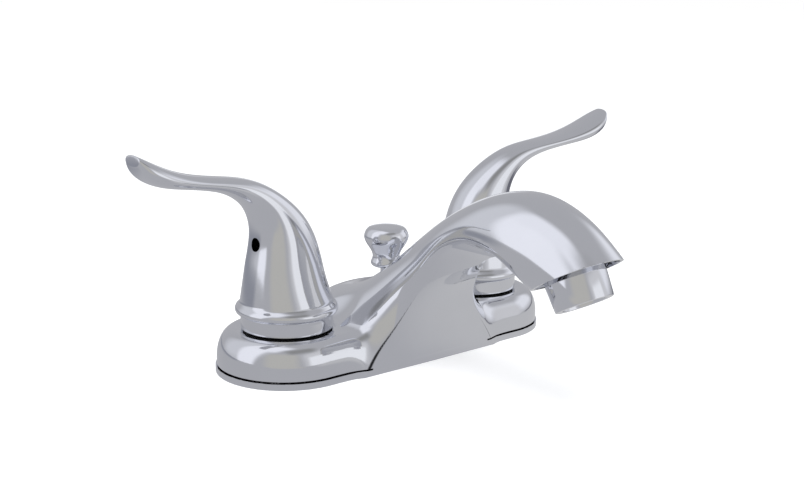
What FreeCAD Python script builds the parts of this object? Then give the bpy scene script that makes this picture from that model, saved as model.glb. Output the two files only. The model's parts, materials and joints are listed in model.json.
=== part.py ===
import FreeCAD, Part
import math
import os

# Two-handle centreset basin faucet. Millimetres. X runs along the deck plate, the spout points to -Y,
# Z is up. The origin is the middle of the deck plate's underside, where it meets the basin.

# Deck plate
HANDLE_SPACING = 101.6
DECK_RADIUS = 28.0
DECK_TOP = 17.0
SHOULDER_RADIUS = 8.0
LIP_HEIGHT = 2.6
LIP_OVERHANG = 0.8
GROOVE_HEIGHT = 0.8
GROOVE_DEPTH = 1.4
FRONT_BULGE = 1.7
FRONT_BULGE_HALF = 42.0
WALL = 3.0
CROWN_HALF_LENGTH = 38.0
CROWN_HALF_DEPTH = 40.0
CROWN_TOP = 27.0
CROWN_BASE = 4.0

# Spout. The ridge runs over its top and the under line along its face and belly. Each point is a share
# of the way from the deck plate's front to the lip, and a share of the spout's height.
SPOUT_REACH = 120.7
SPOUT_HEIGHT = 77.6
RIDGE_LINE = [(-0.523, 0.271), (-0.421, 0.321), (-0.332, 0.376), (-0.245, 0.438), (-0.152, 0.521),
              (-0.056, 0.615), (0.052, 0.713), (0.170, 0.812), (0.299, 0.905), (0.442, 0.982),
              (0.593, 1.000), (0.744, 0.954), (0.881, 0.870), (1.000, 0.764)]
UNDER_LINE = [(0.021, 0.000), (0.026, 0.116), (0.037, 0.200), (0.054, 0.280), (0.086, 0.369),
              (0.141, 0.454), (0.219, 0.528), (0.305, 0.590), (0.391, 0.622), (0.469, 0.634),
              (0.549, 0.629), (0.617, 0.613), (0.672, 0.594), (0.708, 0.577)]
# Half widths at the crease and at the widest line, and the depths of the side band and of the belly.
CREASE_HALF = [32.8, 27.6, 23.4, 19.6, 16.4, 15.2, 15.0, 15.4, 15.8, 16.2, 16.0, 15.0, 13.6, 12.2]
SIDE_HALF = [40.0, 34.5, 29.5, 24.6, 20.6, 18.2, 17.4, 17.8, 18.4, 19.2, 19.2, 18.6, 17.6, 16.6]
BAND_DEPTH = [13.0, 11.5, 10.0, 8.6, 6.8, 5.0, 4.0, 3.5, 3.6, 4.0, 4.2, 5.0, 7.0, 13.0]
BELLY_DEPTH = [0.0, 0.0, 0.0, 0.0, 0.3, 1.5, 4.5, 7.3, 9.0, 9.3, 8.0, 5.6, 3.3, 2.2]
TOP_ROUNDNESS = 0.90
HOLLOW_FIRST = 1
HOLLOW_LAST = 11

# Aerator at the spout's lip; its axis crosses the lip at this share of the lip's line, from the rear.
OUTLET_SHARE = 0.43
RIM_WALL = 1.4
RIM_RECESS = 2.0
AERATOR_RADIUS = 10.85
AERATOR_THREAD_RADIUS = 9.6
AERATOR_DROP = 10.7
AERATOR_THREAD_LENGTH = 7.0
AERATOR_BORE_RADIUS = 8.4
SCREEN_THICKNESS = 2.4
SCREEN_RECESS = 1.2
SCREEN_HOLE_RADIUS = 0.55
SCREEN_RINGS = 3
WASHER_THICKNESS = 1.6
CHAMBER_RADIUS = 5.8
CHAMBER_DEPTH = 7.0

# Waterway from the valves to the spout
MANIFOLD_SETBACK = 9.2
MANIFOLD_HEIGHT = 8.0
MANIFOLD_TUBE_RADIUS = 4.2
MANIFOLD_BORE_RADIUS = 3.2
RISER_RADIUS = 6.2
RISER_TOP = 17.5
SPOUT_TUBE_RADIUS = 4.75
SPOUT_TUBE_BORE = 3.75
SPOUT_TUBE_SEAT = 5.0
TUBE_KNEE_STATION = 7
TUBE_CREST_STATION = 9
TUBE_FOOT_RISE = 4.5
TUBE_KNEE_RISE = 2.0
TUBE_ARC_SHARE = 0.45
TUBE_ENTRY = 0.5

# Valve under each handle
SHANK_RADIUS = 10.4
SHANK_LENGTH = 50.0
SHANK_BORE_RADIUS = 7.0
SUPPLY_THREAD_LENGTH = 14.0
RELIEF_LENGTH = 1.5
RELIEF_DEPTH = 0.8
VALVE_RADIUS = 13.0
VALVE_RISE = 7.0
PORT_BOSS_RADIUS = 5.5
PORT_BOSS_REACH = 16.0
PORT_STOP = 10.4
CARTRIDGE_RADIUS = 9.45
CARTRIDGE_FOOT = 1.0
CARTRIDGE_NECK_HEIGHT = 10.0
CARTRIDGE_NECK_RADIUS = 7.0
CARTRIDGE_FLANGE_RADIUS = 11.6
CARTRIDGE_FLANGE = 2.0
CARTRIDGE_CHAMBER_RADIUS = 7.9
SEAT_SEAL_THICKNESS = 2.0
SEAT_SEAL_BORE = 5.2
DISC_RADIUS = 7.6
DISC_THICKNESS = 2.6
DISC_PORT_RADIUS = 2.3
DISC_PORT_OFFSET = 4.0
STEM_RADIUS = 4.0
STEM_COLLAR_RADIUS = 7.2
STEM_COLLAR_HEIGHT = 1.6
SPLINE_TEETH = 20
SPLINE_DEPTH = 0.45
SPLINE_LENGTH = 11.0
O_RING_THICKNESS = 0.8
O_RING_DEPTH = 2.0
BONNET_RADIUS = 15.3
BONNET_TOP_THICKNESS = 2.4
BONNET_SKIRT = 3.0
SHELL_NUT_RADIUS = 15.4
SHELL_NUT_HEIGHT = 3.4
SPANNER_SLOTS = 6
SPANNER_SLOT_WIDTH = 3.0
SPANNER_SLOT_DEPTH = 1.2
TRIM_RING_RADIUS = 17.4
TRIM_RING_HEIGHT = 1.2

# Fixings under the basin
BASE_PLATE_THICKNESS = 2.2
BASIN_THICKNESS = 20.0
FIXING_WASHER_RADIUS = 20.0
FIXING_WASHER_THICKNESS = 2.0
FIXING_NUT_RADIUS = 17.0
FIXING_NUT_HEIGHT = 11.0
FIXING_WING_REACH = 27.0
FIXING_WING_WIDTH = 5.0

# Handles; heights are above the handle's foot.
FOOT_RING_RADIUS = 18.8
FOOT_RING_HEIGHT = 4.6
LAND_MARGIN = 0.6
BEAD_RADIUS = 19.8
BEAD_HEIGHT = 7.3
SKIRT_HEIGHT = 9.8
HANDLE_WALL = 2.2
LEFT_LEVER_ANGLE = 2.0
RIGHT_LEVER_ANGLE = 11.0
# Outline of the handle seen from the front: the inner line and the outer line, each as its distance
# outwards from the turning axis and its height, with the half depth of the section between them.
INNER_LINE = [(-18.3, 9.8), (-14.8, 18.4), (-12.7, 27.0), (-10.1, 35.3), (-6.0, 42.5), (-0.2, 48.6),
              (6.4, 53.6), (13.1, 57.6), (20.4, 60.3), (28.2, 61.7), (36.5, 63.0), (44.8, 64.7),
              (52.6, 67.2), (59.3, 70.1), (63.8, 72.5), (66.2, 73.7)]
OUTER_LINE = [(18.3, 9.8), (17.0, 17.6), (15.8, 25.1), (14.6, 32.0), (14.2, 38.0), (15.4, 43.3),
              (17.9, 47.8), (21.5, 51.4), (26.2, 54.4), (31.9, 56.6), (38.6, 58.2), (46.3, 59.5),
              (54.2, 60.7), (61.0, 62.5), (65.9, 65.6), (67.7, 69.4)]
HALF_DEPTH = [18.3, 15.8, 14.0, 12.6, 11.3, 10.0, 8.9, 7.9, 7.3, 7.2, 7.6, 8.2, 8.8, 8.8, 7.4, 4.8]
HANDLE_ROUNDNESS = 0.91
CAVITY_HEIGHT = 27.5
CAVITY_TOP_RADIUS = 10.0
INSERT_RADIUS = 6.2
INSERT_HEIGHT = 39.5
INSERT_ROOF = 1.2
SET_SCREW_HEIGHT = 34.0
SET_SCREW_RADIUS = 2.4
SET_SCREW_LENGTH = 6.0
SET_SCREW_HOLE_RADIUS = 2.6
SET_SCREW_SOCKET = 1.2
SET_SCREW_SOCKET_DEPTH = 2.0

# Lift rod behind the spout
ROD_RADIUS = 2.4
ROD_LENGTH = 132.0
ROD_GRIP_LENGTH = 30.0
ROD_GROOVE_WIDTH = 1.0
ROD_GROOVE_DEPTH = 0.4
KNOB_FOOT = 33.9
KNOB_SOCKET_DEPTH = 9.0
# Outline of the knob from its foot, as radius and height.
KNOB_OUTLINE = [(4.6, 0.0), (5.9, 0.8), (6.1, 1.9), (5.6, 3.4), (5.5, 5.2), (6.3, 7.2), (7.7, 9.4),
                (8.8, 11.4), (9.2, 12.9), (8.9, 14.7), (7.9, 16.2), (6.4, 17.0)]
KNOB_SEAT_RADIUS = 6.8
KNOB_SEAT_HEIGHT = 30.6
GUIDE_RADIUS = 3.8
GUIDE_BOSS_RADIUS = 5.3
GUIDE_FOOT = 20.0
GUIDE_TOP = 28.0
ROD_HOLE_RADIUS = 2.75
ROD_HOLE_IN_PLATE = 4.0

# Clearances
RUNNING_FIT = 0.05
SEAT_FIT = 0.05
HOLE_FIT = 0.2
PART_GAP = 0.3
CUT_MARGIN = 1.0

# Points in a quarter of a section
SECTION_POINTS = 7

half_spacing = HANDLE_SPACING / 2
shell_radius = DECK_RADIUS - LIP_OVERHANG
valve_top = DECK_TOP + VALVE_RISE
cartridge_top = valve_top + CARTRIDGE_NECK_HEIGHT
handle_base = DECK_TOP + TRIM_RING_HEIGHT + PART_GAP
up = FreeCAD.Vector(0, 0, 1)
along_x = FreeCAD.Vector(1, 0, 0)


def vec(x, y, z):
    return FreeCAD.Vector(x, y, z)


def save(name, shape):
    shape.exportStep("parts/" + name + ".step")


def rod(radius, bottom, top, x=0.0, y=0.0):
    return Part.makeCylinder(radius, top - bottom, vec(x, y, bottom), up)


def tube(outer, inner, bottom, top, x=0.0, y=0.0):
    core = rod(inner, bottom - CUT_MARGIN, top + CUT_MARGIN, x, y)
    return rod(outer, bottom, top, x, y).cut(core)


def stadium(radius, bottom, top):
    # Rounded bar between the two handle axes.
    left_top = vec(-half_spacing, radius, bottom)
    left_mid = vec(-half_spacing - radius, 0, bottom)
    left_low = vec(-half_spacing, -radius, bottom)
    right_low = vec(half_spacing, -radius, bottom)
    right_mid = vec(half_spacing + radius, 0, bottom)
    right_top = vec(half_spacing, radius, bottom)
    edges = [Part.Arc(left_top, left_mid, left_low).toShape(),
             Part.LineSegment(left_low, right_low).toShape(),
             Part.Arc(right_low, right_mid, right_top).toShape(),
             Part.LineSegment(right_top, left_top).toShape()]
    return Part.Face(Part.Wire(edges)).extrude(up * (top - bottom))


def turned(points):
    # Solid of revolution about Z from (radius, height) points, closed along the axis.
    outline = [vec(r, 0, z) for r, z in points]
    outline.append(vec(0, 0, points[-1][1]))
    outline.append(vec(0, 0, points[0][1]))
    outline.append(outline[0])
    return Part.Face(Part.makePolygon(outline)).revolve(vec(0, 0, 0), up, 360)


def at_handle(shape, side):
    moved = shape.copy()
    moved.translate(vec(side * half_spacing, 0, 0))
    return moved


def spout_point(share):
    reach = DECK_RADIUS + share[0] * (SPOUT_REACH - DECK_RADIUS)
    return vec(0, -reach, share[1] * SPOUT_HEIGHT)


def spout_station(index, inset):
    # Frame of one spout section: the crease centre, the direction to the ridge, and its sizes.
    ridge = spout_point(RIDGE_LINE[index])
    under = spout_point(UNDER_LINE[index])
    rise = ridge - under
    direction = vec(rise.x, rise.y, rise.z)
    direction.normalize()
    belly = BELLY_DEPTH[index]
    crease = under + direction * belly
    height = rise.Length - belly - inset
    return {"crease": crease, "up": direction, "height": height, "belly": max(belly - inset, 0),
            "lift": inset - min(inset, belly), "crease_half": CREASE_HALF[index] - inset,
            "side_half": SIDE_HALF[index] - inset, "band": BAND_DEPTH[index]}


def spout_wire(index, inset=0.0):
    st = spout_station(index, inset)
    origin = st["crease"]
    step = math.pi / 2 / SECTION_POINTS

    def point(x, rise):
        return origin + st["up"] * rise + vec(x, 0, 0)

    belly = [point(st["crease_half"] * math.sin(k * step), st["lift"] - st["belly"] * math.cos(k * step))
             for k in range(SECTION_POINTS + 1)]
    band_width = st["side_half"] - st["crease_half"]
    side = []
    for k in range(SECTION_POINTS + 1):
        across = st["crease_half"] + band_width * math.sin(k * step)
        side.append(point(across, st["lift"] + (st["band"] - st["lift"]) * (1 - math.cos(k * step))))
    for k in range(1, SECTION_POINTS + 1):
        across = st["side_half"] * math.cos(k * step) ** TOP_ROUNDNESS
        rise = st["band"] + (st["height"] - st["band"]) * math.sin(k * step) ** TOP_ROUNDNESS
        side.append(point(across, rise))

    def mirrored(points):
        return [vec(-p.x, p.y, p.z) for p in points]

    under_points = mirrored(belly[:0:-1]) + belly
    over_points = side + mirrored(side[-2::-1])
    lower = Part.BSplineCurve()
    lower.interpolate(under_points)
    upper = Part.BSplineCurve()
    upper.interpolate(over_points)
    return Part.Wire([lower.toShape(), upper.toShape()])


def spout_form():
    return Part.makeLoft([spout_wire(k) for k in range(len(RIDGE_LINE))], True)


def spout_hollow():
    return Part.makeLoft([spout_wire(k, WALL) for k in range(HOLLOW_FIRST, HOLLOW_LAST)], True)


def outlet_axis():
    # Square to the lip, pointing down and forwards out of the spout.
    lip = spout_station(len(RIDGE_LINE) - 1, 0)["up"]
    return vec(0, lip.z, -lip.y) * -1


def outlet_centre():
    ridge = spout_point(RIDGE_LINE[-1])
    under = spout_point(UNDER_LINE[-1])
    return under + (ridge - under) * OUTLET_SHARE


def outlet_solid(radius, start, end):
    # Cylinder on the outlet's axis; distances run from the lip, positive downwards.
    axis = outlet_axis()
    return Part.makeCylinder(radius, end - start, outlet_centre() + axis * start, axis)


def outlet_tube(outer, inner, start, end):
    return outlet_solid(outer, start, end).cut(outlet_solid(inner, start - CUT_MARGIN, end + CUT_MARGIN))


def crown():
    # Swelling of the deck plate's top around the lift rod.
    ball = Part.makeSphere(1.0)
    matrix = FreeCAD.Matrix()
    matrix.scale(vec(CROWN_HALF_LENGTH, CROWN_HALF_DEPTH, CROWN_TOP - CROWN_BASE))
    matrix.move(vec(0, 0, CROWN_BASE))
    swelling = ball.transformGeometry(matrix)
    return swelling.common(rounded_stadium(LIP_HEIGHT + GROOVE_HEIGHT, CROWN_TOP))


def front_bulge(bottom, top):
    ends_y = -DECK_RADIUS
    left = vec(-FRONT_BULGE_HALF, ends_y, bottom)
    middle = vec(0, ends_y - FRONT_BULGE, bottom)
    right = vec(FRONT_BULGE_HALF, ends_y, bottom)
    back_right = vec(FRONT_BULGE_HALF, ends_y + WALL, bottom)
    back_left = vec(-FRONT_BULGE_HALF, ends_y + WALL, bottom)
    edges = [Part.Arc(left, middle, right).toShape(),
             Part.LineSegment(right, back_right).toShape(),
             Part.LineSegment(back_right, back_left).toShape(),
             Part.LineSegment(back_left, left).toShape()]
    return Part.Face(Part.Wire(edges)).extrude(up * (top - bottom))


def rounded_stadium(bottom, top):
    shell = stadium(shell_radius, bottom, top)
    rim = [edge for edge in shell.Edges if edge.BoundBox.ZMin > top - RUNNING_FIT]
    return shell.makeFillet(SHOULDER_RADIUS, rim)


def deck_form():
    shell = rounded_stadium(0, DECK_TOP)
    groove = stadium(DECK_RADIUS, LIP_HEIGHT, LIP_HEIGHT + GROOVE_HEIGHT)
    groove = groove.cut(stadium(shell_radius - GROOVE_DEPTH, 0, DECK_TOP))
    lip = stadium(DECK_RADIUS, 0, LIP_HEIGHT)
    return shell.cut(groove).fuse([lip, front_bulge(0, LIP_HEIGHT)])


def deck_hollow():
    return stadium(shell_radius - WALL, -CUT_MARGIN, DECK_TOP - WALL)


def station_centre(index):
    return (spout_point(RIDGE_LINE[index]) + spout_point(UNDER_LINE[index])) * 0.5


def tube_route():
    chamber = outlet_centre() - outlet_axis() * (AERATOR_THREAD_LENGTH + CHAMBER_DEPTH / 2 + RIM_RECESS)
    lift = vec(0, 0, TUBE_KNEE_RISE)
    start = vec(0, -MANIFOLD_SETBACK, RISER_TOP - SPOUT_TUBE_SEAT)
    bend = vec(0, -MANIFOLD_SETBACK, RISER_TOP + TUBE_FOOT_RISE)
    end = chamber + vec(0, CHAMBER_RADIUS - TUBE_ENTRY, 0)
    return [start, bend, station_centre(TUBE_KNEE_STATION) + lift, station_centre(TUBE_CREST_STATION), end]


def rounded_route(points):
    # Straight runs joined by tangent arcs.
    edges = []
    here = points[0]
    for before, corner, after in zip(points, points[1:], points[2:]):
        back = before - corner
        ahead = after - corner
        turn = math.pi - back.getAngle(ahead)
        cut_back = TUBE_ARC_SHARE * min(back.Length, ahead.Length)
        radius = cut_back / math.tan(turn / 2)
        back.normalize()
        ahead.normalize()
        arc_start = corner + back * cut_back
        arc_end = corner + ahead * cut_back
        inward = back + ahead
        inward.normalize()
        centre = corner + inward * (radius / math.cos(turn / 2))
        middle = centre - inward * radius
        edges.append(Part.LineSegment(here, arc_start).toShape())
        edges.append(Part.Arc(arc_start, middle, arc_end).toShape())
        here = arc_end
    edges.append(Part.LineSegment(here, points[-1]).toShape())
    return Part.Wire(edges)


def spout_tube_form(radius):
    route = tube_route()
    ring = Part.Wire(Part.Circle(route[0], up, radius).toShape())
    return rounded_route(route).makePipeShell([ring], True, False)


def spout_body():
    body = deck_form().fuse([spout_form(), crown()])
    body = body.cut(deck_hollow())
    body = body.cut(spout_hollow())
    body = body.fuse(rod(GUIDE_BOSS_RADIUS, GUIDE_FOOT, GUIDE_TOP))
    axis = outlet_axis()
    lip = Part.Face(spout_wire(len(RIDGE_LINE) - 1, RIM_WALL))
    recess = lip.extrude(axis * -RIM_RECESS).fuse(lip.extrude(axis * CUT_MARGIN))
    thread_end = -RIM_RECESS - AERATOR_THREAD_LENGTH
    cuts = [recess,
            outlet_solid(AERATOR_THREAD_RADIUS + SEAT_FIT, thread_end, CUT_MARGIN),
            outlet_solid(CHAMBER_RADIUS, thread_end - CHAMBER_DEPTH, thread_end + CUT_MARGIN),
            spout_tube_form(SPOUT_TUBE_RADIUS + SEAT_FIT),
            rod(RISER_RADIUS + HOLE_FIT, 0, RISER_TOP + HOLE_FIT, 0, -MANIFOLD_SETBACK),
            rod(GUIDE_RADIUS + SEAT_FIT, 0, GUIDE_TOP),
            rod(ROD_HOLE_RADIUS, 0, KNOB_FOOT),
            rod(KNOB_SEAT_RADIUS, KNOB_SEAT_HEIGHT, SPOUT_HEIGHT)]
    for side in (-1, 1):
        cuts.append(rod(VALVE_RADIUS + HOLE_FIT, 0, DECK_TOP + CUT_MARGIN, side * half_spacing))
        cuts.append(rod(FOOT_RING_RADIUS + LAND_MARGIN, DECK_TOP, SPOUT_HEIGHT, side * half_spacing))
    for cut in cuts:
        body = body.cut(cut)
    return body


def base_plate():
    plate = stadium(shell_radius - WALL - HOLE_FIT, 0, BASE_PLATE_THICKNESS)
    plate = plate.cut(rod(ROD_HOLE_IN_PLATE, -CUT_MARGIN, BASE_PLATE_THICKNESS + CUT_MARGIN))
    for side in (-1, 1):
        hole = rod(SHANK_RADIUS + HOLE_FIT, -CUT_MARGIN, BASE_PLATE_THICKNESS + CUT_MARGIN,
                   side * half_spacing)
        plate = plate.cut(hole)
    return plate


def spout_tube():
    return spout_tube_form(SPOUT_TUBE_RADIUS).cut(spout_tube_form(SPOUT_TUBE_BORE))


def manifold_end():
    # Distance from the middle to the tube's end, inside the valve's port boss.
    return half_spacing - PORT_STOP


def cross_rod(radius, half_length):
    base = vec(-half_length, -MANIFOLD_SETBACK, MANIFOLD_HEIGHT)
    return Part.makeCylinder(radius, 2 * half_length, base, along_x)


def manifold():
    reach = manifold_end()
    riser_foot = MANIFOLD_HEIGHT - MANIFOLD_TUBE_RADIUS
    body = cross_rod(MANIFOLD_TUBE_RADIUS, reach)
    body = body.fuse(rod(RISER_RADIUS, riser_foot, RISER_TOP, 0, -MANIFOLD_SETBACK))
    body = body.cut(cross_rod(MANIFOLD_BORE_RADIUS, reach + CUT_MARGIN))
    body = body.cut(rod(MANIFOLD_BORE_RADIUS, MANIFOLD_HEIGHT, RISER_TOP, 0, -MANIFOLD_SETBACK))
    socket_floor = RISER_TOP - SPOUT_TUBE_SEAT
    socket = rod(SPOUT_TUBE_RADIUS + SEAT_FIT, socket_floor, RISER_TOP + CUT_MARGIN, 0, -MANIFOLD_SETBACK)
    return body.cut(socket)


def valve_body(side):
    # Shank, cartridge housing and the boss that takes the manifold's end.
    body = rod(SHANK_RADIUS, -SHANK_LENGTH, BASE_PLATE_THICKNESS)
    body = body.fuse(rod(VALVE_RADIUS, BASE_PLATE_THICKNESS, valve_top))
    towards_middle = vec(-side, 0, 0)
    port_place = vec(0, -MANIFOLD_SETBACK, MANIFOLD_HEIGHT)
    boss = Part.makeCylinder(PORT_BOSS_RADIUS, PORT_BOSS_REACH, port_place, towards_middle)
    relief_foot = SUPPLY_THREAD_LENGTH - SHANK_LENGTH
    relief = tube(SHANK_RADIUS + CUT_MARGIN, SHANK_RADIUS - RELIEF_DEPTH, relief_foot,
                  relief_foot + RELIEF_LENGTH)
    cuts = [relief,
            rod(CARTRIDGE_RADIUS + SEAT_FIT, CARTRIDGE_FOOT, valve_top + CUT_MARGIN),
            rod(SHANK_BORE_RADIUS, -SHANK_LENGTH - CUT_MARGIN, valve_top),
            Part.makeCylinder(MANIFOLD_TUBE_RADIUS + SEAT_FIT, PORT_BOSS_REACH,
                              port_place + towards_middle * PORT_STOP, towards_middle),
            Part.makeCylinder(MANIFOLD_BORE_RADIUS, PORT_STOP + CUT_MARGIN, port_place, towards_middle)]
    body = body.fuse(boss)
    for cut in cuts:
        body = body.cut(cut)
    return body


def seat_seal():
    return tube(CARTRIDGE_RADIUS - PART_GAP, SEAT_SEAL_BORE, CARTRIDGE_FOOT,
                CARTRIDGE_FOOT + SEAT_SEAL_THICKNESS)


def cartridge_floor():
    return CARTRIDGE_FOOT + SEAT_SEAL_THICKNESS


def fixed_disc():
    foot = cartridge_floor()
    disc = rod(DISC_RADIUS, foot, foot + DISC_THICKNESS)
    for direction in (-1, 1):
        port = rod(DISC_PORT_RADIUS, foot - CUT_MARGIN, foot + DISC_THICKNESS + CUT_MARGIN,
                   0, direction * DISC_PORT_OFFSET)
        disc = disc.cut(port)
    return disc


def moving_disc_foot():
    return cartridge_floor() + DISC_THICKNESS + RUNNING_FIT


def moving_disc():
    foot = moving_disc_foot()
    disc = rod(DISC_RADIUS, foot, foot + DISC_THICKNESS)
    for direction in (-1, 1):
        port = rod(DISC_PORT_RADIUS, foot - CUT_MARGIN, foot + DISC_THICKNESS + CUT_MARGIN,
                   direction * DISC_PORT_OFFSET, 0)
        disc = disc.cut(port)
    return disc


def cartridge():
    body = rod(CARTRIDGE_RADIUS, cartridge_floor(), valve_top + CUT_MARGIN)
    body = body.fuse(rod(CARTRIDGE_FLANGE_RADIUS, valve_top, valve_top + CARTRIDGE_FLANGE))
    body = body.fuse(rod(CARTRIDGE_NECK_RADIUS, valve_top, cartridge_top))
    body = body.cut(rod(CARTRIDGE_CHAMBER_RADIUS, cartridge_floor() - CUT_MARGIN, chamber_top()))
    body = body.cut(rod(STEM_RADIUS + RUNNING_FIT, CARTRIDGE_FOOT, cartridge_top + CUT_MARGIN))
    window = Part.makeCylinder(MANIFOLD_BORE_RADIUS, 2 * CARTRIDGE_RADIUS,
                               vec(-CARTRIDGE_RADIUS, -MANIFOLD_SETBACK, MANIFOLD_HEIGHT), along_x)
    return body.cut(window)


def chamber_top():
    return moving_disc_foot() + DISC_THICKNESS + STEM_COLLAR_HEIGHT + PART_GAP


def stem_top():
    return handle_base + INSERT_HEIGHT - INSERT_ROOF - PART_GAP


def splined_rod(radius, bottom, top):
    # Toothed rod: the teeth stand between the radius and a root circle.
    teeth = []
    count = 2 * SPLINE_TEETH
    for k in range(count):
        reach = radius - (k % 2) * SPLINE_DEPTH
        turn = 2 * math.pi * k / count
        teeth.append(vec(reach * math.cos(turn), reach * math.sin(turn), bottom))
    teeth.append(teeth[0])
    return Part.Face(Part.makePolygon(teeth)).extrude(up * (top - bottom))


def stem():
    foot = moving_disc_foot() + DISC_THICKNESS
    collar = rod(STEM_COLLAR_RADIUS, foot, foot + STEM_COLLAR_HEIGHT)
    spline_foot = stem_top() - SPLINE_LENGTH
    shaft = rod(STEM_RADIUS, foot, spline_foot)
    half_groove = O_RING_THICKNESS / 2 + SEAT_FIT
    groove = tube(STEM_RADIUS + CUT_MARGIN, STEM_RADIUS - O_RING_THICKNESS, o_ring_height() - half_groove,
                  o_ring_height() + half_groove)
    shaft = shaft.fuse(collar).cut(groove)
    return shaft.fuse(splined_rod(STEM_RADIUS, spline_foot, stem_top()))


def o_ring_height():
    return valve_top - O_RING_DEPTH


def stem_seal():
    half_thickness = O_RING_THICKNESS / 2
    return Part.makeTorus(STEM_RADIUS - half_thickness, half_thickness, vec(0, 0, o_ring_height()), up)


def spanner_slots(radius, bottom, top):
    slots = []
    for k in range(SPANNER_SLOTS):
        slot = Part.makeBox(2 * SPANNER_SLOT_DEPTH, SPANNER_SLOT_WIDTH, top - bottom + 2 * CUT_MARGIN,
                            vec(radius - SPANNER_SLOT_DEPTH, -SPANNER_SLOT_WIDTH / 2, bottom - CUT_MARGIN))
        slot.rotate(vec(0, 0, 0), up, 360 / SPANNER_SLOTS * k)
        slots.append(slot)
    return slots


def shell_nut():
    nut = tube(SHELL_NUT_RADIUS, VALVE_RADIUS + SEAT_FIT, DECK_TOP, DECK_TOP + SHELL_NUT_HEIGHT)
    return nut.cut(spanner_slots(SHELL_NUT_RADIUS, DECK_TOP, DECK_TOP + SHELL_NUT_HEIGHT))


def bonnet_nut():
    foot = valve_top - BONNET_SKIRT
    ceiling = valve_top + CARTRIDGE_FLANGE
    top = ceiling + BONNET_TOP_THICKNESS
    nut = rod(BONNET_RADIUS, foot, top)
    nut = nut.cut(rod(VALVE_RADIUS + SEAT_FIT, foot - CUT_MARGIN, ceiling))
    nut = nut.cut(rod(CARTRIDGE_NECK_RADIUS + SEAT_FIT, foot, top + CUT_MARGIN))
    return nut.cut(spanner_slots(BONNET_RADIUS, foot, top))


def trim_ring():
    return tube(TRIM_RING_RADIUS, SHELL_NUT_RADIUS + HOLE_FIT, DECK_TOP, DECK_TOP + TRIM_RING_HEIGHT)


def fixing_washer():
    return tube(FIXING_WASHER_RADIUS, SHANK_RADIUS + HOLE_FIT, -BASIN_THICKNESS - FIXING_WASHER_THICKNESS,
                -BASIN_THICKNESS)


def fixing_nut():
    top = -BASIN_THICKNESS - FIXING_WASHER_THICKNESS
    bottom = top - FIXING_NUT_HEIGHT
    nut = rod(FIXING_NUT_RADIUS, bottom, top)
    wings = Part.makeBox(2 * FIXING_WING_REACH, FIXING_WING_WIDTH, FIXING_NUT_HEIGHT,
                         vec(-FIXING_WING_REACH, -FIXING_WING_WIDTH / 2, bottom))
    nut = nut.fuse(wings)
    return nut.cut(rod(SHANK_RADIUS + SEAT_FIT, bottom - CUT_MARGIN, top + CUT_MARGIN))


def handle_wire(index):
    inner_out, inner_up = INNER_LINE[index]
    outer_out, outer_up = OUTER_LINE[index]
    centre = vec((inner_out + outer_out) / 2, 0, handle_base + (inner_up + outer_up) / 2)
    half = vec((outer_out - inner_out) / 2, 0, (outer_up - inner_up) / 2)
    points = []
    steps = 4 * SECTION_POINTS
    for k in range(steps):
        turn = 2 * math.pi * k / steps
        across = math.copysign(abs(math.cos(turn)) ** HANDLE_ROUNDNESS, math.cos(turn))
        deep = math.copysign(abs(math.sin(turn)) ** HANDLE_ROUNDNESS, math.sin(turn))
        points.append(centre + half * across + vec(0, HALF_DEPTH[index] * deep, 0))
    outline = Part.BSplineCurve()
    outline.interpolate(points, PeriodicFlag=True)
    return Part.Wire(outline.toShape())


def handle_foot():
    # Plain ring, then the bead above it, then the slope up to the skirt.
    step = BEAD_RADIUS - FOOT_RING_RADIUS
    outline = [(FOOT_RING_RADIUS, 0), (FOOT_RING_RADIUS, FOOT_RING_HEIGHT),
               (BEAD_RADIUS - step / 3, FOOT_RING_HEIGHT + step), (BEAD_RADIUS, BEAD_HEIGHT - step),
               (BEAD_RADIUS, BEAD_HEIGHT), (BEAD_RADIUS - step / 2, BEAD_HEIGHT + step),
               (OUTER_LINE[0][0], SKIRT_HEIGHT)]
    return turned([(radius, handle_base + height) for radius, height in outline])


def handle_cavity():
    foot_bore = FOOT_RING_RADIUS - HANDLE_WALL
    outline = [(foot_bore, -CUT_MARGIN), (foot_bore, BEAD_HEIGHT),
               (OUTER_LINE[0][0] - HANDLE_WALL, SKIRT_HEIGHT),
               (CAVITY_TOP_RADIUS, CAVITY_HEIGHT - HANDLE_WALL),
               (CAVITY_TOP_RADIUS - HANDLE_WALL, CAVITY_HEIGHT)]
    return turned([(radius, handle_base + height) for radius, height in outline])


def set_screw_hole(radius, start, length):
    return Part.makeCylinder(radius, length, vec(start, 0, handle_base + SET_SCREW_HEIGHT), along_x)


def turned_to(shape, side, angle):
    # The handle is drawn with its lever along +X. The left one turns round, and both stand a little
    # towards the front, because the splines seat them in steps.
    heading = -angle if side > 0 else 180 + angle
    moved = shape.copy()
    moved.rotate(vec(0, 0, 0), up, heading)
    return at_handle(moved, side)


def handle():
    body = Part.makeLoft([handle_wire(k) for k in range(len(INNER_LINE))], True)
    body = body.fuse(handle_foot())
    body = body.cut(handle_cavity())
    body = body.cut(insert_form(INSERT_RADIUS + SEAT_FIT, CUT_MARGIN))
    return body.cut(set_screw_hole(SET_SCREW_HOLE_RADIUS, STEM_RADIUS, OUTER_LINE[0][0]))


def insert_form(radius, below=0.0):
    return rod(radius, handle_base + CAVITY_HEIGHT - below, handle_base + INSERT_HEIGHT)


def handle_insert():
    bore_foot = handle_base + CAVITY_HEIGHT - CUT_MARGIN
    bore = splined_rod(STEM_RADIUS + SEAT_FIT, bore_foot, stem_top() + PART_GAP)
    insert = insert_form(INSERT_RADIUS).cut(bore)
    return insert.cut(set_screw_hole(SET_SCREW_HOLE_RADIUS, 0, INSERT_RADIUS + CUT_MARGIN))


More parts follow.
